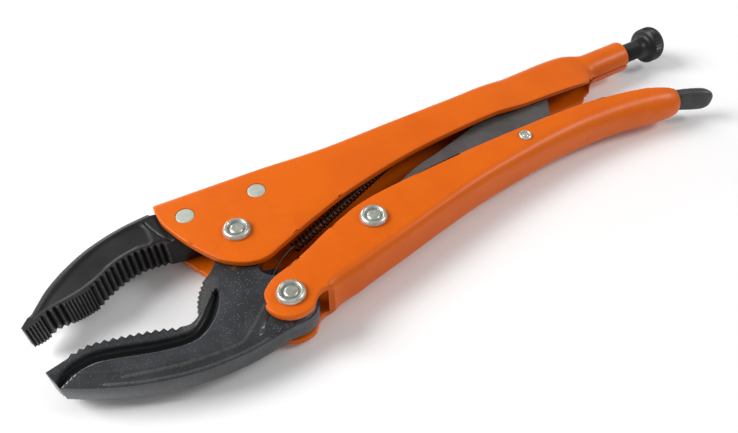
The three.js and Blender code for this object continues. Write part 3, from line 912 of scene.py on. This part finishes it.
@dataclass(frozen=True)
class Feature:
    """A groove or rib along a line on a jaw's face; a negative height is a groove."""

    line: Sequence[Pair]
    half_width: float
    height: float
    profile: Profile = Profile.ROUND
    hollow_shade: float = 0.0
    worn_and_highlight: float = 0.0
    taper: bool = True

    def raise_by(self, x: np.ndarray, y: np.ndarray) -> tuple[np.ndarray, np.ndarray, np.ndarray]:
        """How far it moves each point of the face, how much painted shade falls on its floor, and how much wear and
        painted highlight its crest has.

        Args:
            x: The points' places along the tool.
            y: The points' places across it.

        Returns:
            The heights, then the two shares from 0 to 1.
        """
        away, along, total = along_line(self.line, x, y)
        width = np.full(len(x), self.half_width)
        if self.taper:
            ends = np.clip(np.minimum(along, total - along) / (4 * self.half_width), 0, 1)
            width *= 0.25 + 0.75 * np.sqrt(ends)
        share = away / width
        if self.profile is Profile.ROUND:
            shape = np.exp(-2.2 * share ** 2)
        else:
            edge = np.clip((1.35 - share) / 0.7, 0, 1)
            shape = edge * edge * (3 - 2 * edge)
        # Painted shade on a groove's floor.
        dark = self.hollow_shade * np.clip(1.25 - share, 0, 1) ** 0.5
        bright = self.worn_and_highlight * np.clip(1.1 - share, 0, 1)
        return self.height * shape, dark, bright


@dataclass(frozen=True)
class Field:
    """A raised or sunk field of a jaw's face, bounded by an outline."""

    border: Sequence[Pair]
    height: float
    slope: float
    rough: float = 0.0
    worn_and_highlight: float = 0.0

    def inside(self, x: np.ndarray, y: np.ndarray) -> np.ndarray:
        """How far inside the border each point is, from 0 at it to 1 a slope's width in."""
        path = np.array(smooth_run([*self.border, self.border[0]], 6))
        within = np.zeros(len(x), bool)
        away = np.full(len(x), 1e9)
        for a, b in zip(path[:-1], path[1:]):
            step = b - a
            t = np.clip(((x - a[0]) * step[0] + (y - a[1]) * step[1]) / max(float(step @ step), 1e-9), 0, 1)
            away = np.minimum(away, np.hypot(x - a[0] - t * step[0], y - a[1] - t * step[1]))
            if a[1] != b[1]:
                crosses = (a[1] > y) != (b[1] > y)
                within ^= crosses & (x < a[0] + (y - a[1]) * step[0] / step[1])
        share = np.clip(np.where(within, away, -away) / self.slope * 0.5 + 0.5, 0, 1)
        return share * share * (3 - 2 * share)


@dataclass(frozen=True)
class Draft:
    """Thinning of a jaw towards a line, as at a chamfer or a drawn-out edge."""

    line: Sequence[Pair]
    reach: float
    drop: float

    def raise_by(self, x: np.ndarray, y: np.ndarray) -> np.ndarray:
        """How far it moves each point of the face; down is negative."""
        away, _, _ = along_line(self.line, x, y)
        return -self.drop * np.clip(1 - away / self.reach, 0, 1)


@dataclass
class ForgedJaw:
    """A jaw: an outline with teeth, forged in relief on both faces."""

    shape: Outline
    teeth: Sequence[Teeth]
    holes: Sequence[tuple[Pair, float]]
    features: Sequence[Feature]
    fields: Sequence[Field]
    drafts: Sequence[Draft]
    net: float = 0.36
    edge: float = 0.5
    tooth_edge: float = 0.1
    rim_angle: float = 1.2           # faces that meet by more than this, in radians, have a rim between them
    tooth_zone: float = 1.6          # a rim nearer to a tooth than this belongs to it
    extra: Callable[[], bmesh.types.BMesh] | None = None

    def forged(self) -> tuple[bmesh.types.BMesh, dict[str, np.ndarray]]:
        """Forge the jaw.

        Returns:
            Its mesh, and the marks for its finish: worn crests with painted highlights, painted shade in hollows, and
                rough fields.
        """
        bm = slab(self.shape, JAW_HALF)
        biting = np.array([p for run in self.teeth for p in run.follow(run.points[0])])
        for width, near_teeth in ((self.edge, False), (self.tooth_edge, True)):
            rims = []
            for e in bm.edges:
                flat = abs(e.verts[0].co.z - e.verts[1].co.z) < 0.01 and abs(e.verts[0].co.z - MID) > JAW_HALF - 0.01
                if not flat or e.calc_face_angle(0) < self.rim_angle:
                    continue
                middle = (e.verts[0].co + e.verts[1].co) / 2
                close = np.hypot(biting[:, 0] - middle.x, biting[:, 1] - middle.y).min() < self.tooth_zone
                if close == near_teeth:
                    rims.append(e)
            bmesh.ops.bevel(bm, geom=rims, offset=width, offset_type="OFFSET", affect="EDGES", segments=2,
                            profile=0.5, material=-1, clamp_overlap=True)
        tools = [drum(place, radius, 30) for place, radius in self.holes]
        if self.extra:
            bm = worked(bm, [self.extra()], Joining.ADD)
        bm = worked(bm, tools, Joining.CUT)
        self.cut_net(bm)
        return self.relief(bm)

    def cut_net(self, bm: bmesh.types.BMesh) -> None:
        """Cut the faces into small squares, so that the relief has points to move."""
        co = np.array([v.co for v in bm.verts])
        for axis in (0, 1):
            normal = Vector((0, 0, 0))
            normal[axis] = 1
            for at in np.arange(co[:, axis].min() + self.net / 2, co[:, axis].max(), self.net):
                bmesh.ops.bisect_plane(bm, geom=[*bm.verts, *bm.edges, *bm.faces], dist=1e-4,
                                       plane_co=normal * float(at), plane_no=normal)

    def relief(self, bm: bmesh.types.BMesh) -> tuple[bmesh.types.BMesh, dict[str, np.ndarray]]:
        """Raise and sink both faces, and work out the marks."""
        co = np.array([v.co for v in bm.verts])
        x, y, side = co[:, 0], co[:, 1], co[:, 2] - MID
        face = np.abs(side) > JAW_HALF - self.edge - 0.02
        height, hollow_shade = np.zeros(len(co)), np.zeros(len(co))
        rough, wear_and_highlight = np.zeros(len(co)), np.zeros(len(co))
        for each in self.features:
            up, dark, bright = each.raise_by(x, y)
            height += up
            hollow_shade = np.maximum(hollow_shade, dark)
            wear_and_highlight = np.maximum(wear_and_highlight, bright)
        for area in self.fields:
            share = area.inside(x, y)
            height += share * area.height
            rough = np.maximum(rough, share * area.rough)
            wear_and_highlight = np.maximum(wear_and_highlight, share * area.worn_and_highlight)
        for draft in self.drafts:
            height += draft.raise_by(x, y)
        for vert, z in zip(bm.verts, co[:, 2] + np.sign(side) * height * face):
            vert.co.z = z
        # Tooth crests get worn bare steel with a painted highlight; tooth roots get painted shade.
        for run in self.teeth:
            ends = np.array(run.follow(run.points[0]))
            for places, mark, value in ((ends[1::2], wear_and_highlight, 0.75), (ends[0::2], hollow_shade, 0.9)):
                away = np.hypot(x[:, None] - places[None, :, 0], y[:, None] - places[None, :, 1]).min(axis=1)
                np.maximum(mark, value * np.clip(1 - (away - 0.06) / (0.25 * run.pitch), 0, 1), out=mark)
        return bm, {"wear_and_highlight": wear_and_highlight, "hollow_shade": hollow_shade, "rough": rough * face}


@dataclass
class FixedJaw:
    """The upper jaw, riveted into the fixed handle."""

    finishes: Finishes
    teeth: Sequence[Teeth] = (
        Teeth(((-78.2, -5.4), (-75, -4.8), (-72.4, -3.6)), 1.2, 0.5),
        Teeth(((-72.4, -3.6), (-69.5, -1.6), (-64.1, -1.2)), 2.4, 1.1),
        Teeth(((-64.1, -1.2), (-59.3, -0.6), (-54.5, 0.6)), 1.3, 0.5),
        Teeth(((-54.5, 0.6), (-50.7, 3.4), (-44, 7.1), (-36.3, 9.4), (-30.5, 9.2), (-25.4, 8.6)), 2.5, 1.2))
    back: Sequence[Pair] = ((-27, 27.4), (-32.6, 26.6), (-37.9, 25.7), (-46, 23.3), (-54.2, 19.8), (-62.5, 14.4),
                            (-69.5, 8.2), (-75.1, 1.7))

    def shape(self) -> Outline:
        """Its outline."""
        return outline(
            (-26.2, 25.4), Line([self.back[0]]), Smooth(self.back[1:]), Line([(-79.2, -3.2), (-78.2, -5.4)]),
            *self.teeth,
            Line([(-23.8, 8.4), (-20.6, 7.4), (-9.4, 7)]), Arc(JAW_PIVOT, 10.1, 134, 98),
            Line([(6, 10.4), (21, 10.4), (24, 13), (24, 22), (20.5, 25.4)]))

    def build(self) -> None:
        """Make the jaw."""
        jaw = ForgedJaw(
            self.shape(), self.teeth, [(FRONT_RIVET, FLUSH + CLEAR), (REAR_RIVET, FLUSH + CLEAR)],
            features=[
                Feature([(-29.4, 23), (-27.8, 18.2), (-25.6, 13.2), (-22.6, 9.6)], 0.5, -0.4),
                Feature([(-29.5, 11.0), (-26, 11.0), (-22, 9.6)], 0.8, -0.5),
                # No relief: a painted highlight along the back chamfer.
                Feature(self.back, 2.2, 0.0, worn_and_highlight=0.22),
            ],
            fields=[
                Field([(-74.5, -1.0), (-71.4, 0.2), (-65, 1.2), (-58.3, 2.8), (-51.8, 5.5), (-46.6, 8.9),
                       (-41.6, 11.0), (-35, 12.4), (-30, 12.2), (-29.4, 17), (-31, 22.6), (-37.9, 22.3),
                       (-45.8, 20.1), (-55.4, 15), (-63.1, 9.0), (-69.6, 3.4)], -0.5, 0.9),
                Field([(-25, 26), (-24, 14), (-20, 8), (10, 8), (26, 10), (26, 26)], -0.35, 0.8),
            ],
            drafts=[Draft(self.back, 2.3, 1.1), Draft([(-79.5, -5.4), (-78.6, -1.5), (-77, 0.5)], 12, 1.0)])
        bm, marks = jaw.forged()
        made = piece("fixed_jaw_forging", bm, self.finishes.satin_forging, 52, marks)
        assign(made, "root", "fixed_jaw")


@dataclass
class LowerJaw:
    """The lower jaw, which swings on the jaw pivot and carries the spring's front eye."""

    finishes: Finishes
    teeth: Sequence[Teeth] = (
        Teeth(((-19, -14.5), (-21.6, -18), (-23.6, -22.4), (-25, -27.4)), 2.1, 0.9),
        Teeth(((-31.4, -28.6), (-37.7, -26.1), (-48.3, -23.2), (-59.6, -20.9), (-66.2, -21.8)), 2.75, 1.2))
    back: Sequence[Pair] = ((-72.4, -31.2), (-66, -34.8), (-58, -38.6), (-50, -41.8), (-42, -44.2), (-33, -46.2),
                            (-24, -47.2), (-14, -47.2))

    def shape(self) -> Outline:
        """Its outline."""
        return outline(
            (-75, -25.1), Line([self.back[0]]), Smooth(self.back[1:]), Smooth([(-6, -46.2), (1.4, -45)]),
            Arc(HANDLE_PIVOT, 9.5, -95, 55),
            Smooth([(9.5, -25.4), (3.6, -22.4), (1.2, -18), (3.6, -11), (8.2, -4)]),
            Arc(JAW_PIVOT, 9.1, -24, 196), Smooth([(-11.2, -6.6), (-14.2, -10.7), (-19, -14.5)]),
            self.teeth[0], Smooth([(-26.7, -28.6), (-28.6, -29.1), (-31.4, -28.6)]), self.teeth[1],
            Line([(-67.4, -23.1)]))

    def tab(self) -> bmesh.types.BMesh:
        """The thin tab with the eye that the spring hooks into."""
        ring = slab(outline((SPRING_EYE[0] + 3.3, SPRING_EYE[1]), Arc(SPRING_EYE, 3.3, 6, 354)), 1.5)
        bridge = slab([(-1, -15), (-1, -24), (6, -24), (5.4, -16.9)], 1.5)
        both = worked(ring, [bridge], Joining.ADD)
        return worked(both, [drum(SPRING_EYE, 1.5, 20)], Joining.CUT)

    def build(self) -> None:
        """Make the jaw."""
        jaw = ForgedJaw(
            self.shape(), self.teeth, [(JAW_PIVOT, SHANK + CLEAR), (HANDLE_PIVOT, SHANK + CLEAR)],
            features=[
                # A deep groove whose floor is painted near black as shade.
                Feature([(-73, -30.4), (-69.6, -28.6), (-64.6, -26.9), (-59.1, -26.6), (-52.6, -28.2),
                         (-45.5, -30.4), (-38.4, -32.4), (-31, -33.6), (-26.5, -32.8), (-22.2, -29.4),
                         (-18.6, -24.6), (-15.8, -19.6)], 1.9, -2.0, Profile.FLAT, 0.97),
                # Low ribs with worn bare steel and a painted highlight line on their crests.
                Feature([(-54, -37.6), (-50, -38.6), (-41, -41), (-32, -42.7), (-22, -43.6), (-14.5, -43.4),
                         (-10, -40.2), (-6, -36.6), (-2.4, -33)], 0.6, 0.15, worn_and_highlight=0.55),
                Feature([(-9.2, -43.4), (-5.6, -39.8), (-2.4, -36.6)], 0.5, 0.12, worn_and_highlight=0.4),
                Feature([(-60, -36.9), (-50, -41), (-42, -43.4), (-33, -45.4), (-24, -46.4), (-14, -46.4), (-6, -45.4)],
                        0.5, 0.2, worn_and_highlight=0.8),
            ],
            fields=[
                Field([(-8.6, -43.6), (-5.2, -39.8), (-1.4, -35.4), (2, -38), (4, -43.6), (-2, -45.2)], -0.5, 0.6,
                      1.0),
                Field([(-20, -38), (-16, -27), (-13, -17), (-4, -13), (1, -22), (-4, -31), (-10, -38),
                       (-16, -42)], 0.0, 4.0, 0.6),
                # No relief: lighter, more metallic colour beside the teeth.
                Field([(-18.6, -14), (-14.2, -14), (-14.4, -18), (-18, -22), (-21.2, -27), (-24.7, -30),
                       (-30, -31.6), (-31, -29), (-26, -28.8), (-23.4, -22)], 0.0, 1.4, worn_and_highlight=0.5),
            ],
            drafts=[Draft([*self.back, (-6, -46.2), (1.4, -45), (8, -44.9), (13.5, -41.5), (16, -36)], 4.6, 2.3)],
            extra=self.tab)
        bm, marks = jaw.forged()
        made = piece("lower_jaw_forging", bm, self.finishes.gloss_forging, 52, marks)
        assign(made, "lower_jaw", "lower_jaw")


# ---- Rivets ----

@dataclass
class HeadedRivet:
    """A rivet through both plates, its heads struck with a ring and a flat middle."""

    name: str
    centre: Pair
    body: str
    finishes: Finishes
    radius: float = 5.3
    height: float = 1.8
    shank: float = SHANK
    segments: int = 64

    def build(self) -> None:
        """Make the rivet."""
        outer = PLATE_HALF + 0.15
        r, h = self.radius, self.height
        face = [(0.0, 0.80), (0.30, 0.80), (0.42, 0.76), (0.47, 0.60), (0.52, 0.42), (0.60, 0.42), (0.64, 0.62),
                (0.70, 0.92), (0.76, 1.0), (0.83, 0.96), (0.92, 0.76), (0.98, 0.44), (1.0, 0.2), (0.995, 0.0)]
        half = [(outer + h * up, r * out) for out, up in face] + [(outer, self.shank)]
        profile = [(-z, q) for z, q in half] + [(z, q) for z, q in reversed(half)]
        bm = spun(profile, self.segments, Matrix.Translation((*self.centre, MID)))
        out = np.array([math.hypot(v.co.x - self.centre[0], v.co.y - self.centre[1]) / r for v in bm.verts])
        far = np.array([abs(v.co.z - MID) > outer + 0.1 for v in bm.verts])
        # Painted shade in the ring groove struck into each head's face.
        marks = {"hollow_shade": 0.8 * np.clip(1 - np.abs(out - 0.55) / 0.11, 0, 1) * far}
        made = piece(self.name + "_turning", bm, self.finishes.zinc, 50, marks)
        assign(made, self.body, self.name)


@dataclass
class FlushRivet:
    """A rivet hammered flush with the plates on both sides."""

    name: str
    centre: Pair
    finishes: Finishes

    def build(self) -> None:
        """Make the rivet."""
        r, h = FLUSH, PLATE_HALF
        half = [(h, 0.0), (h, r * 0.5), (h - 0.03, r * 0.85), (h - 0.1, r * 0.95), (h - 0.3, r)]
        profile = [(-z, q) for z, q in half] + [(z, q) for z, q in reversed(half)]
        bm = spun(profile, 56, Matrix.Translation((*self.centre, MID)))
        made = piece(self.name + "_head", bm, self.finishes.flush_zinc, 50)
        assign(made, "root", self.name)


# ---- Link and lever ----

@dataclass
class ToggleLink:
    """The link from the lower handle to the screw's tip."""

    finishes: Finishes
    hub: float = 7.6

    def build(self) -> None:
        """Make the link."""
        x, y = LINK_PIVOT
        shape = outline(
            (x - 2.4, y + 7.2), Arc(LINK_PIVOT, self.hub, 108, 290),
            Smooth([(70, -17.6), (95, -9.4), (112, -3.6), (124, -1.2), (136, -0.6)]),
            Smooth([(143, 0.4), (147.6, 3.4), (149.4, 5.6)]), Line([(154.6, 14.6)]),
            Smooth([(156.3, 19.6), (156.5, 22.6), (155.4, 24.6), (153, 25)]),
            Smooth([(140, 21.4), (125, 16.4), (111.2, 11.6), (91.3, 5.5), (77.3, 1.6), (60, -6.4)]))
        bm = slab(shape, LINK_HALF)
        soften(bm, 0.45, 3, 60)
        bm = worked(bm, [drum(LINK_PIVOT, SHANK + CLEAR, 30)], Joining.CUT)
        made = piece("toggle_link_plate", bm, self.finishes.link_steel)
        assign(made, "toggle_link", "toggle_link")


@dataclass
class ReleaseLever:
    """The release lever: a flat body in the lower handle and a rounded tail behind it."""

    finishes: Finishes
    tail: Sequence[tuple[float, float, float, float]] = field(default_factory=lambda: [
        (197, -9.9, 4.2, 2.6), (200, -10.15, 4.6, 2.7), (203, -10.6, 4.8, 2.8), (206.5, -11.4, 5.1, 2.9),
        (210, -12.4, 5.3, 3.0), (213, -13.5, 5.45, 3.15), (216, -14.8, 5.5, 3.3), (218.5, -15.85, 5.45, 3.28),
        (220.5, -16.7, 5.3, 3.2), (222, -17.35, 4.9, 2.9), (223.2, -17.9, 4.2, 2.4), (224, -18.22, 3.2, 1.75),
        (224.4, -18.4, 2.2, 1.1)])
    around: int = 32
    squareness: float = 0.75

    def tail_body(self) -> bmesh.types.BMesh:
        """The tail, rounded to a soft oblong section all along."""
        rings = []
        for x, y, wide, high in self.tail:
            turns = [2 * math.pi * i / self.around for i in range(self.around)]
            rings.append([Vector((x, y + high * math.copysign(abs(math.sin(a)) ** self.squareness, math.sin(a)),
                                  MID + wide * math.copysign(abs(math.cos(a)) ** self.squareness, math.cos(a))))
                          for a in turns])
        return grown(rings)

    def build(self) -> None:
        """Make the lever."""
        x, y = LEVER_PIVOT
        shape = outline(
            (x + 3.2, y + 2.7), Arc(LEVER_PIVOT, 4.2, 40, 265),
            Smooth([(136, -11.4), (150, -10.2), (168, -9.6), (184, -10.4), (199, -13)]), Line([(199, -7.4)]),
            Smooth([(184, -5.2), (166, -4.9), (152, -4.9), (146.5, -3.3), (143, -2.9), (139.5, -3.5),
                    (134, -5.2)]))
        bm = slab(shape, LEVER_HALF)
        soften(bm, 0.4, 2, 60)
        bm = worked(bm, [self.tail_body()], Joining.ADD)
        bm = worked(bm, [drum(LEVER_PIVOT, SMALL_SHANK + CLEAR, 30)], Joining.CUT)
        made = piece("release_lever_body", bm, self.finishes.lever_steel, 45)
        assign(made, "release_lever", "release_lever")


# ---- Spring ----

@dataclass
class ReturnSpring:
    """The return spring's wire, from the jaw's eye to the lug under the handle's back."""

    finishes: Finishes
    radius: float = 1.8
    wire: float = 0.42
    turns: int = 30
    points_per_turn: int = 16

    def path(self) -> list[Vector]:
        """The wire's centre line."""
        start = Vector((SPRING_EYE[0] + 12.2, SPRING_EYE[1] + 9.4, MID))
        end = Vector((SPRING_LUG[0] - 6, SPRING_LUG[1] - 0.6, MID))
        axis = end - start
        across = Vector((-axis.y, axis.x, 0)).normalized() * self.radius
        up = Vector((0, 0, self.radius))
        beside_eye, beside_lug = MID + 1.5 + self.wire + 0.3, MID + 2 + self.wire + 0.3
        ex, ey = SPRING_EYE
        lx, ly = SPRING_LUG
        hook = [Vector((ex, ey, MID - 1.2)), Vector((ex, ey, MID + 1)), Vector((ex + 0.7, ey + 0.7, beside_eye)),
                Vector((ex + 5, ey + 5, beside_eye))]
        count = self.turns * self.points_per_turn
        coil = [start + axis * (i / count) + across * math.sin(2 * math.pi * i / self.points_per_turn)
                + up * math.cos(2 * math.pi * i / self.points_per_turn) for i in range(count + 1)]
        rear = [Vector((lx - 1.6, ly + 1, beside_lug)), Vector((lx - 0.4, ly + 2, beside_lug)),
                Vector((lx, ly + 2.2, MID + 1)), Vector((lx, ly + 2.2, MID - 1.2))]
        return self.eased(hook + [coil[0]])[:-1] + coil + self.eased([coil[-1], *rear])[1:]

    @staticmethod
    def eased(points: Sequence[Vector], steps: int = 5) -> list[Vector]:
        """A smooth line through points in space."""
        made, last = [], len(points) - 1
        for i in range(last):
            a, b, c, d = (points[max(i - 1, 0)], points[i], points[i + 1], points[min(i + 2, last)])
            for k in range(steps):
                t = k / steps
                made.append(0.5 * (2 * b + (c - a) * t + (2 * a - 5 * b + 4 * c - d) * t * t
                                   + (3 * b - a - 3 * c + d) * t ** 3))
        return [*made, points[last]]

    def drawn(self, name: str, points: Sequence[Vector]) -> bpy.types.Object:
        """Draw wire along a line of points.

        Args:
            name: The piece's name.
            points: The wire's centre line, in millimetres.

        Returns:
            The piece, as a mesh.
        """
        curve = bpy.data.curves.new(name, "CURVE")
        curve.dimensions = "3D"
        curve.bevel_depth = self.wire * MM
        curve.bevel_resolution = 3
        curve.use_fill_caps = True
        line = curve.splines.new("POLY")
        line.points.add(len(points) - 1)
        for point, place in zip(line.points, points):
            point.co = (*(place * MM), 1)
        scratch = bpy.data.objects.new(name + "_line", curve)
        bpy.context.scene.collection.objects.link(scratch)
        bpy.context.view_layer.update()
        mesh = bpy.data.meshes.new_from_object(scratch.evaluated_get(bpy.context.evaluated_depsgraph_get()))
        bpy.data.objects.remove(scratch)
        mesh.name = name
        mesh.shade_smooth()
        mesh.materials.clear()
        mesh.materials.append(self.finishes.spring_wire)
        made = bpy.data.objects.new(name, mesh)
        bpy.context.scene.collection.objects.link(made)
        log.info("%s: %d faces", name, len(mesh.polygons))
        return made

    def build(self) -> None:
        """Make the spring: the coil, and the hook in the jaw's eye."""
        points = self.path()
        split = next(i for i, p in enumerate(points) if p.x > SPRING_EYE[0] + 10.5)
        coil = self.drawn("return_spring_coil", points[split:])
        hook = self.drawn("return_spring_hook", points[:split + 1])
        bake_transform(coil)
        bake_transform(hook)
        for made in (coil, hook):
            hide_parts("return_spring")


# ---- Screw ----

@dataclass
class AdjustingScrew:
    """The screw that sets the jaws' opening, and the tip that the link bears on."""

    finishes: Finishes
    gap: float = 2.3
    tip_radius: float = 3.2
    tip_length: float = 7.0
    radius: float = 4.6
    pitch: float = 1.25
    depth: float = 0.55
    neck: float = 65.5
    knob_start: float = 69.5
    knob_end: float = 76.0
    knob_radius: float = 8.5
    flutes: int = 40

    def place(self) -> Matrix:
        """From the local Z axis to the screw's axis, with its zero where the link bears."""
        turn = Matrix.Rotation(SCREW_SLOPE, 4, "Z") @ Matrix.Rotation(math.pi / 2, 4, "Y")
        return Matrix.Translation((*SCREW_CONTACT, MID)) @ turn

    def tip(self) -> bmesh.types.BMesh:
        """The plain tip."""
        a, b, r = self.gap, self.gap + self.tip_length, self.tip_radius
        return spun([(a, 0), (a, r - 1.0), (a + 0.3, r - 0.35), (a + 1.0, r), (b - 0.2, r), (b, r - 0.2), (b, 0)],
                    40, self.place())

    def shaft(self) -> bmesh.types.BMesh:
        """The threaded shaft, its flared neck and its knurled knob."""
        start, step = self.gap + self.tip_length + 0.3, self.pitch / 6
        count = int((self.neck - start - 1.0) / step)
        profile = [(start, 0.0), (start, self.radius - 0.9)]
        profile += [(start + 0.5 + step * i, self.radius) for i in range(count)]
        k0, k1, r = self.knob_start - 1, self.knob_end - 1, self.knob_radius
        profile += [(self.neck, 4.6), (self.neck + 1.6, 5.0), (self.neck + 2.6, 5.7), (k0 - 0.1, 6.6), (k0, 7.2),
                    (k0 + 0.25, 7.7), (k0 + 0.8, r), (k0 + 1.6, r), (k0 + 2.8, r), (k0 + 3.9, r), (k1 - 0.9, r),
                    (k1 - 0.3, 7.9), (k1, 7.2), (k1, 5.0), (k1 - 0.25, 4.6), (k1 - 0.25, 0.0)]
        bm = spun(profile, 2 * self.flutes, Matrix.Identity(4))
        for v in bm.verts:
            out, turn = math.hypot(v.co.x, v.co.y), math.atan2(v.co.y, v.co.x)
            if start + 0.4 < v.co.z < self.neck - 0.3 and out > 4.5:
                phase = (v.co.z / self.pitch - turn / (2 * math.pi)) % 1.0
                fade = min(1.0, (v.co.z - start) / 2.5, (self.neck - v.co.z) / 3.0)
                cut = self.depth * fade * (1 - abs(2 * phase - 1) ** 1.0)
                v.co.x, v.co.y = v.co.x * (out - cut) / out, v.co.y * (out - cut) / out
            elif out > 7.6 and v.co.z > k0:
                cut = 0.42 * (0.5 - 0.5 * math.cos(self.flutes * turn)) if out > 8.4 else 0.0
                v.co.x, v.co.y = v.co.x * (out - cut) / out, v.co.y * (out - cut) / out
        bmesh.ops.transform(bm, matrix=self.place(), verts=bm.verts)
        return bm

    def build(self) -> None:
        """Make the tip and the screw."""
        made = piece("screw_tip_turning", self.tip(), self.finishes.screw_black, 40)
        assign(made, "screw_tip", "screw_tip")
        made = piece("adjusting_screw_turning", self.shaft(), self.finishes.screw_black, 40)
        assign(made, "adjusting_screw", "adjusting_screw")


# ---- Studio ----

@dataclass
class Studio:
    """A pale table, soft light and the camera."""

    lens: float = 34.15
    place: tuple[float, float, float] = (-0.0351, -0.1716, 0.2180)
    heading: Pair = (0.4664, 0.8846)
    pitch: float = math.radians(48.5)

    def camera(self) -> None:
        """Set the camera up."""
        data = bpy.data.cameras.new("camera")
        data.lens, data.sensor_width, data.clip_start = self.lens, 36, 0.01
        cam = bpy.data.objects.new("camera", data)
        bpy.context.scene.collection.objects.link(cam)
        cam.location = self.place
        level = math.cos(self.pitch)
        look = Vector((self.heading[0] * level, self.heading[1] * level, -math.sin(self.pitch)))
        cam.rotation_euler = look.to_track_quat("-Z", "Y").to_euler()
        bpy.context.scene.camera = cam

    def table(self) -> None:
        """The table top."""
        material, tree, shader, where = begin("pale_table")
        tint = tree.noise(where, 6.0, 2.0)
        tree.feed(shader.inputs["Base Color"], tree.mix(tint, (0.93, 0.93, 0.93), (0.96, 0.96, 0.96)))
        shader.inputs["Roughness"].default_value = 0.9
        bm = bmesh.new()
        bmesh.ops.create_grid(bm, x_segments=2, y_segments=2, size=3000)
        top = piece("table_top", bm, material)

    def light(self, name: str, place: tuple[float, float, float], size: float, power: float) -> None:
        """A soft square lamp that looks at the tool."""
        data = bpy.data.lights.new(name, "AREA")
        data.size, data.energy = size, power
        lamp = bpy.data.objects.new(name, data)
        bpy.context.scene.collection.objects.link(lamp)
        lamp.location = place
        lamp.rotation_euler = (Vector((0.06, 0, 0)) - Vector(place)).to_track_quat("-Z", "Y").to_euler()

    def build(self) -> None:
        """Set up the whole studio."""
        self.camera()
        self.table()
        self.light("top_light", (-0.85, 0.45, 0.85), 0.6, 16)
        self.light("side_light", (1.0, -0.38, 0.85), 0.36, 5)
        self.light("back_light", (-0.2, 1.3, 0.4), 0.35, 3)
        world = bpy.data.worlds.new("studio")
        world.use_nodes = True
        world.node_tree.nodes["Background"].inputs[0].default_value = (1, 1, 1, 1)
        world.node_tree.nodes["Background"].inputs[1].default_value = 0.38
        bpy.context.scene.world = world
        bpy.context.scene.view_settings.view_transform = "Standard"


def main() -> None:
    """Build the tool and its studio."""
    logging.basicConfig(level=logging.INFO, format="%(message)s")
    finishes = Finishes.mixed()
    Studio().build()
    FixedHandle(finishes).build()
    FixedJaw(finishes).build()
    FlushRivet("front_jaw_rivet", FRONT_RIVET, finishes).build()
    FlushRivet("rear_jaw_rivet", REAR_RIVET, finishes).build()
    HeadedRivet("jaw_pivot_rivet", JAW_PIVOT, "jaw_pivot", finishes).build()
    LowerJaw(finishes).build()
    HeadedRivet("handle_pivot_rivet", HANDLE_PIVOT, "handle_pivot", finishes).build()
    LowerHandle(finishes).build()
    HeadedRivet("link_rivet", LINK_PIVOT, "lower_handle", finishes).build()
    ToggleLink(finishes).build()
    ReleaseLever(finishes).build()
    HeadedRivet("release_lever_rivet", LEVER_PIVOT, "lower_handle", finishes, 2.75, 1.0, SMALL_SHANK, 40).build()
    ReturnSpring(finishes).build()
    AdjustingScrew(finishes).build()


if __name__ == "__main__":
    main()
